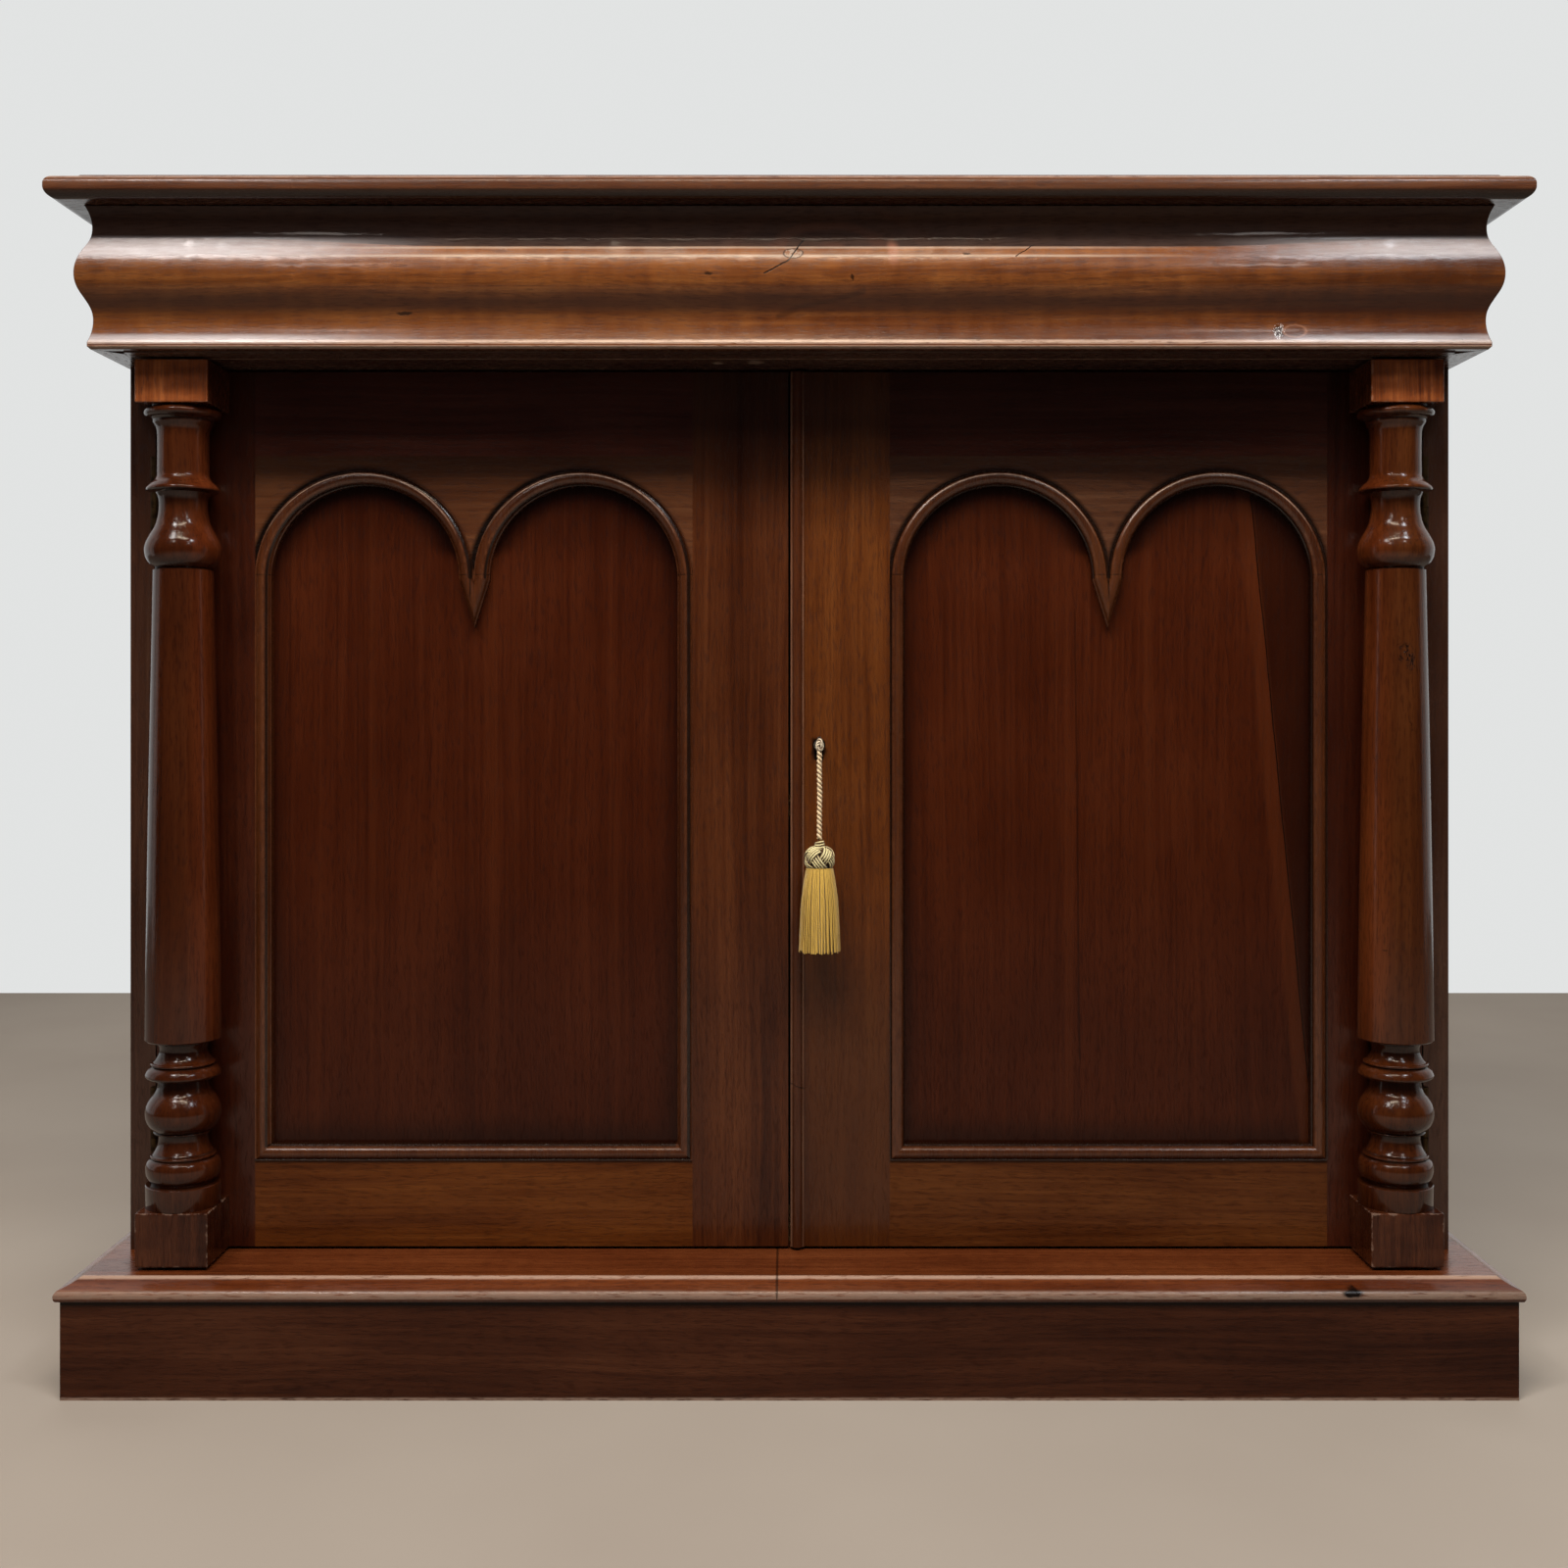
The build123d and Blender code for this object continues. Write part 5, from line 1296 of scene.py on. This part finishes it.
def block_marks(node):
    """Marks for a pair of square blocks: pale along every arris from wear and painted highlight, and the
    upper block painted lighter, most on its front, as if lit.
    """
    low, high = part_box(node)

    def marks(wood, shade, height, satin):
        start = wood.here()
        rub = wood.noise(start, 130.0, 4.0, 0.7)
        foot = near_edge(wood, (low.x, low.y, low.z), (high.x, high.y, column_foot.z))
        head = near_edge(wood, (low.x, low.y, column_head.z), (high.x, high.y, high.z))
        front = wood.axis(start, "Y").step(low.y + 0.002, low.y + 0.001)
        # Painted light: the upper block, most of all its front, is lifted in colour as if lit from the front.
        lit_upper_block = wood.axis(start, "Z").step(0.50, 0.51) * (0.2 + front * 0.8)
        shade = wood.mix(lit_upper_block, shade, wood.mix(1.0, shade, (6.4, 7.0, 5.6), "MULTIPLY"))
        # Pale arrises: part wear, part painted highlight.
        edge = (foot.least(head) + (rub - 0.45) * 0.008).step(0.0012, 0.0003)
        return wood.mix(edge * 0.22, shade, PALE_WEAR_AND_HIGHLIGHT), height, satin

    return marks


print("block marks drawn")

# %% [markdown]
# ## A material for each board
#
# Boards of one piece of furniture come from several planks, and age apart. A table gives
# each board its grain, its middle colour, its part of the tree and its pattern.

# %% The table of boards
# Top: a pale strip of wear and painted highlight on its nose, and painted shade on the nose's underside.
# Plinth board: wear along its foot, and painted shadow under the moulding's nose.
top_marks = pale_strips_and_shade_band([(0.9145, 0.9168)], 0.35, (0.900, 0.9058))
foot_marks = pale_strips_and_shade_band([(0.0, 0.0022)], 0.5, (0.0715, 0.0745))

# name, nodes and pieces, grain,
# middle colour, part of the tree, figure, streak, mottle, shine, marks
boards = [
    ("top_board", ["top_board"], "x",
     (0.100, 0.034, 0.015), 0.31, 0.6, 1.0, 0.0, 0.34, top_marks),
    ("frieze_front", ["drawer_facing"], "x",
     (0.187, 0.056, 0.0125), 1.37, 0.9, 1.1, 0.5, 0.36, frieze_marks),
    ("frieze_sides", ["frieze_side_left", "frieze_side_right"], "y",
     (0.120, 0.034, 0.009), 2.11, 0.9, 1.0, 0.3, 0.36, None),
    ("sides", ["carcass_side_left", "carcass_side_right"], "z",
     (0.058, 0.022, 0.012), 0.77, 0.9, 1.0, 0.0, 0.30, None),
    ("rail_under_drawer", ["drawer_rail"], "x",
     (0.150, 0.085, 0.062), 3.05, 0.8, 0.9, 0.0, 0.25, rail_marks),
    ("plinth_board", ["plinth_front"], "x",
     (0.060, 0.016, 0.0060), 4.21, 0.8, 1.1, 0.1, 0.14, foot_marks),
    ("plinth_ends", ["plinth_sides"], "y",
     (0.060, 0.016, 0.0060), 4.93, 0.8, 1.1, 0.1, 0.15, None),
    ("plinth_moulding", ["plinth_top"], "x",
     (0.122, 0.028, 0.0075), 5.17, 0.8, 1.0, 0.2, 0.36, plinth_marks),
    ("left_hinge_stile", ["left_door_hinge_stile"], "z",
     (0.045, 0.0088, 0.003), 6.3, 0.8, 1.0, 0.0, 0.25, None),
    ("left_meeting_stile", ["left_door_meeting_stile"], "z",
     (0.071, 0.017, 0.0045), 6.9, 0.9, 1.2, 0.0, 0.25, shaded_stile_marks),
    ("right_hinge_stile", ["right_door_hinge_stile"], "z",
     (0.042, 0.0082, 0.003), 7.4, 0.8, 1.0, 0.0, 0.25, None),
    ("right_meeting_stile", ["right_door_meeting_stile"], "z",
     (0.120, 0.031, 0.0055), 7.9, 1.0, 1.1, 0.1, 0.30, golden_stile_marks),
    ("left_top_rail", ["left_door_top_rail"], "x",
     (0.060, 0.0130, 0.0070), 8.3, 0.8, 1.0, 0.0, 0.20, None),
    ("right_top_rail", ["right_door_top_rail"], "x",
     (0.052, 0.0120, 0.0065), 8.8, 0.8, 1.0, 0.0, 0.20, None),
    ("left_bottom_rail", ["left_door_bottom_rail"], "x",
     (0.104, 0.027, 0.0050), 9.3, 1.0, 1.0, 0.1, 0.12, None),
    ("right_bottom_rail", ["right_door_bottom_rail"], "x",
     (0.085, 0.023, 0.0052), 9.9, 1.0, 1.0, 0.1, 0.12, None),
    ("left_spandrels", ["left_door_arch_board"], "x",
     (0.102, 0.032, 0.0115), 10.4, 0.8, 1.0, 0.0, 0.25, spandrel_marks),
    ("right_spandrels", ["right_door_arch_board"], "x",
     (0.100, 0.036, 0.0160), 10.9, 0.8, 1.0, 0.0, 0.25, spandrel_marks),
    ("left_panel", ["left_door_panel"], "z",
     (0.056, 0.0102, 0.0028), 11.4, 0.3, 0.7, 0.0, 0.14, panel_marks),
    ("right_panel", ["right_door_panel"], "z",
     (0.060, 0.0110, 0.0029), 12.1, 0.3, 0.7, 0.0, 0.14, split_panel_marks),
    ("left_bead", ["left_door_bead"], "z",
     (0.072, 0.0190, 0.0056), 12.7, 0.5, 0.8, 0.0, 0.42, bead_marks),
    ("right_bead", ["right_door_bead"], "z",
     (0.070, 0.0185, 0.0054), 13.2, 0.5, 0.8, 0.0, 0.42, bead_marks),
    ("meeting_astragal", ["astragal"], "z",
     (0.082, 0.0215, 0.0066), 13.7, 0.5, 0.8, 0.0, 0.30, astragal_marks),
    ("left_column", ["left_column", "turned_column_left"], "z",
     (0.050, 0.0110, 0.0028), 14.2, 0.8, 0.9, 0.0, 0.34, column_marks(burr=False)),
    ("right_column", ["right_column", "turned_column_right"], "z",
     (0.068, 0.0170, 0.0040), 14.9, 0.9, 0.9, 0.0, 0.34, column_marks(burr=True)),
    ("left_blocks", ["left_column_blocks", "worn_blocks_left"], "z",
     (0.050, 0.0120, 0.0040), 15.3, 1.2, 1.3, 0.8, 0.22, block_marks("left_column_blocks")),
    ("right_blocks", ["right_column_blocks", "worn_blocks_right"], "z",
     (0.050, 0.0120, 0.0040), 15.9, 1.2, 1.3, 0.8, 0.22, block_marks("right_column_blocks")),
]
print("boards in the table:", len(boards))

# %% [markdown]
# A board from the frame and a piece made here take their finish in the same way: the old
# slot goes, and the one material comes in.


# %% Paint the boards
def paint(names, material):
    """Give CAD nodes and turned pieces one material."""
    for name in names:
        mesh = (nodes[name] if name in nodes else bpy.data.objects[name]).data
        mesh.materials.clear()
        mesh.materials.append(material)


for name, members, grain, colour, tree, figure, streak, mottle, shine, marks in boards:
    paint(members, mahogany(name, grain, colour, tree, figure, streak, mottle, shine, marks))
print("boards painted:", len(boards))

# %% [markdown]
# ## Plain woods, metals and threads
#
# What nobody sees is pine and oak, sawn and planed but never polished. The hinges are
# brass, the lock is steel, and the tassel is rayon, which shines softly along its fibres.
# Each takes one short function, because its members differ in a few numbers only.


# %% Simple finishes
def plain_wood(name, grain, tones, part):
    """Sawn softwood or oak that was never polished."""
    wood = Finish(name)
    place = wood.place((part, part, part))
    lines = wood.stretched(place, grain_scale(grain, 60.0, 3.0), 4.0, 0.6)
    clouds = wood.noise(place, 5.0, 3.0, 0.5)
    tone = wood.ramp(lines * 0.7 + clouds * 0.3, [(0.3, tones[0]), (0.7, tones[1])])
    relief = wood.bump(lines, 0.0003, 0.4)
    return wood.polish(Base_Color=tone, Roughness=lines * 0.2 + 0.55, Normal=relief)


def metal(name, bright, dull, rough, dirt):
    """Old metal: bright where it is handled, dull in the hollows."""
    plate = Finish(name)
    spots = plate.noise(plate.place(), 160.0, 4.0, 0.6)
    tone = plate.mix(spots.step(0.45, 0.45 + dirt), bright, dull)
    relief = plate.bump(spots, 0.0001, 0.5)
    return plate.polish(Base_Color=tone, Metallic=1.0, Roughness=spots * 0.3 + rough, Normal=relief)


def silk(name, light, shade, low, high):
    """Rayon thread, with a painted highlight on its crests and painted shade where it turns inwards."""
    thread = Finish(name)
    fibres = thread.stretched(thread.here(), (1700.0, 1700.0, 14.0), 2.0, 0.5)
    # The crown value drives the painted highlight on thread crests and the painted shade between threads.
    crown = thread.node("Attribute", {"attribute_name": "crown"}, output=2)
    tone = thread.mix(crown.step(low, high) * (0.80 + fibres.step(0.36, 0.62) * 0.20), shade, light)
    relief = thread.bump(fibres, 0.0001, 0.5)
    return thread.polish(Base_Color=tone, Roughness=0.42, Sheen_Weight=0.3, Normal=relief)


pine = plain_wood("pine", "x", ((0.30, 0.16, 0.07), (0.46, 0.28, 0.13)), 0.4)
oak = plain_wood("oak", "y", ((0.26, 0.16, 0.08), (0.40, 0.27, 0.15)), 0.9)
brass = metal("brass", (0.075, 0.045, 0.020), (0.022, 0.013, 0.007), 0.42, 0.2)
steel = metal("lock_steel", (0.30, 0.28, 0.26), (0.07, 0.055, 0.045), 0.35, 0.25)
named = {"pine": pine, "oak": oak, "brass": brass, "lock_steel": steel}
for entry in frame["record"]["materials"]:
    if entry["slot"] in named:
        for node_name, node in nodes.items():
            slots = [m.name.split(".")[0] for m in node.data.materials]
            if entry["slot"] in slots:
                paint([node_name], named[entry["slot"]])
tarnish = metal("tarnished_escutcheon", (0.020, 0.014, 0.010), (0.006, 0.004, 0.003), 0.50, 0.2)
paint([name for name in nodes if "escutcheon" in name], tarnish)
for piece, silk_name, light, shade, low, high in (
    (cord, "cord_silk", (1.0, 0.76, 0.46), (0.20, 0.095, 0.032), 0.32, 0.86),
    (hitch, "hitch_silk", (1.0, 0.84, 0.60), (0.12, 0.06, 0.025), 0.35, 0.90),
    (knot, "knot_silk", (1.0, 0.86, 0.44), (0.100, 0.045, 0.008), 0.44, 0.74),
    (skirt, "skirt_silk", (0.80, 0.50, 0.092), (0.13, 0.052, 0.004), 0.34, 0.94),
):
    piece.data.materials.append(silk(silk_name, light, shade, low, high))
print("fittings painted")

# %% [markdown]
# ## The end

# %% Close
print("done")
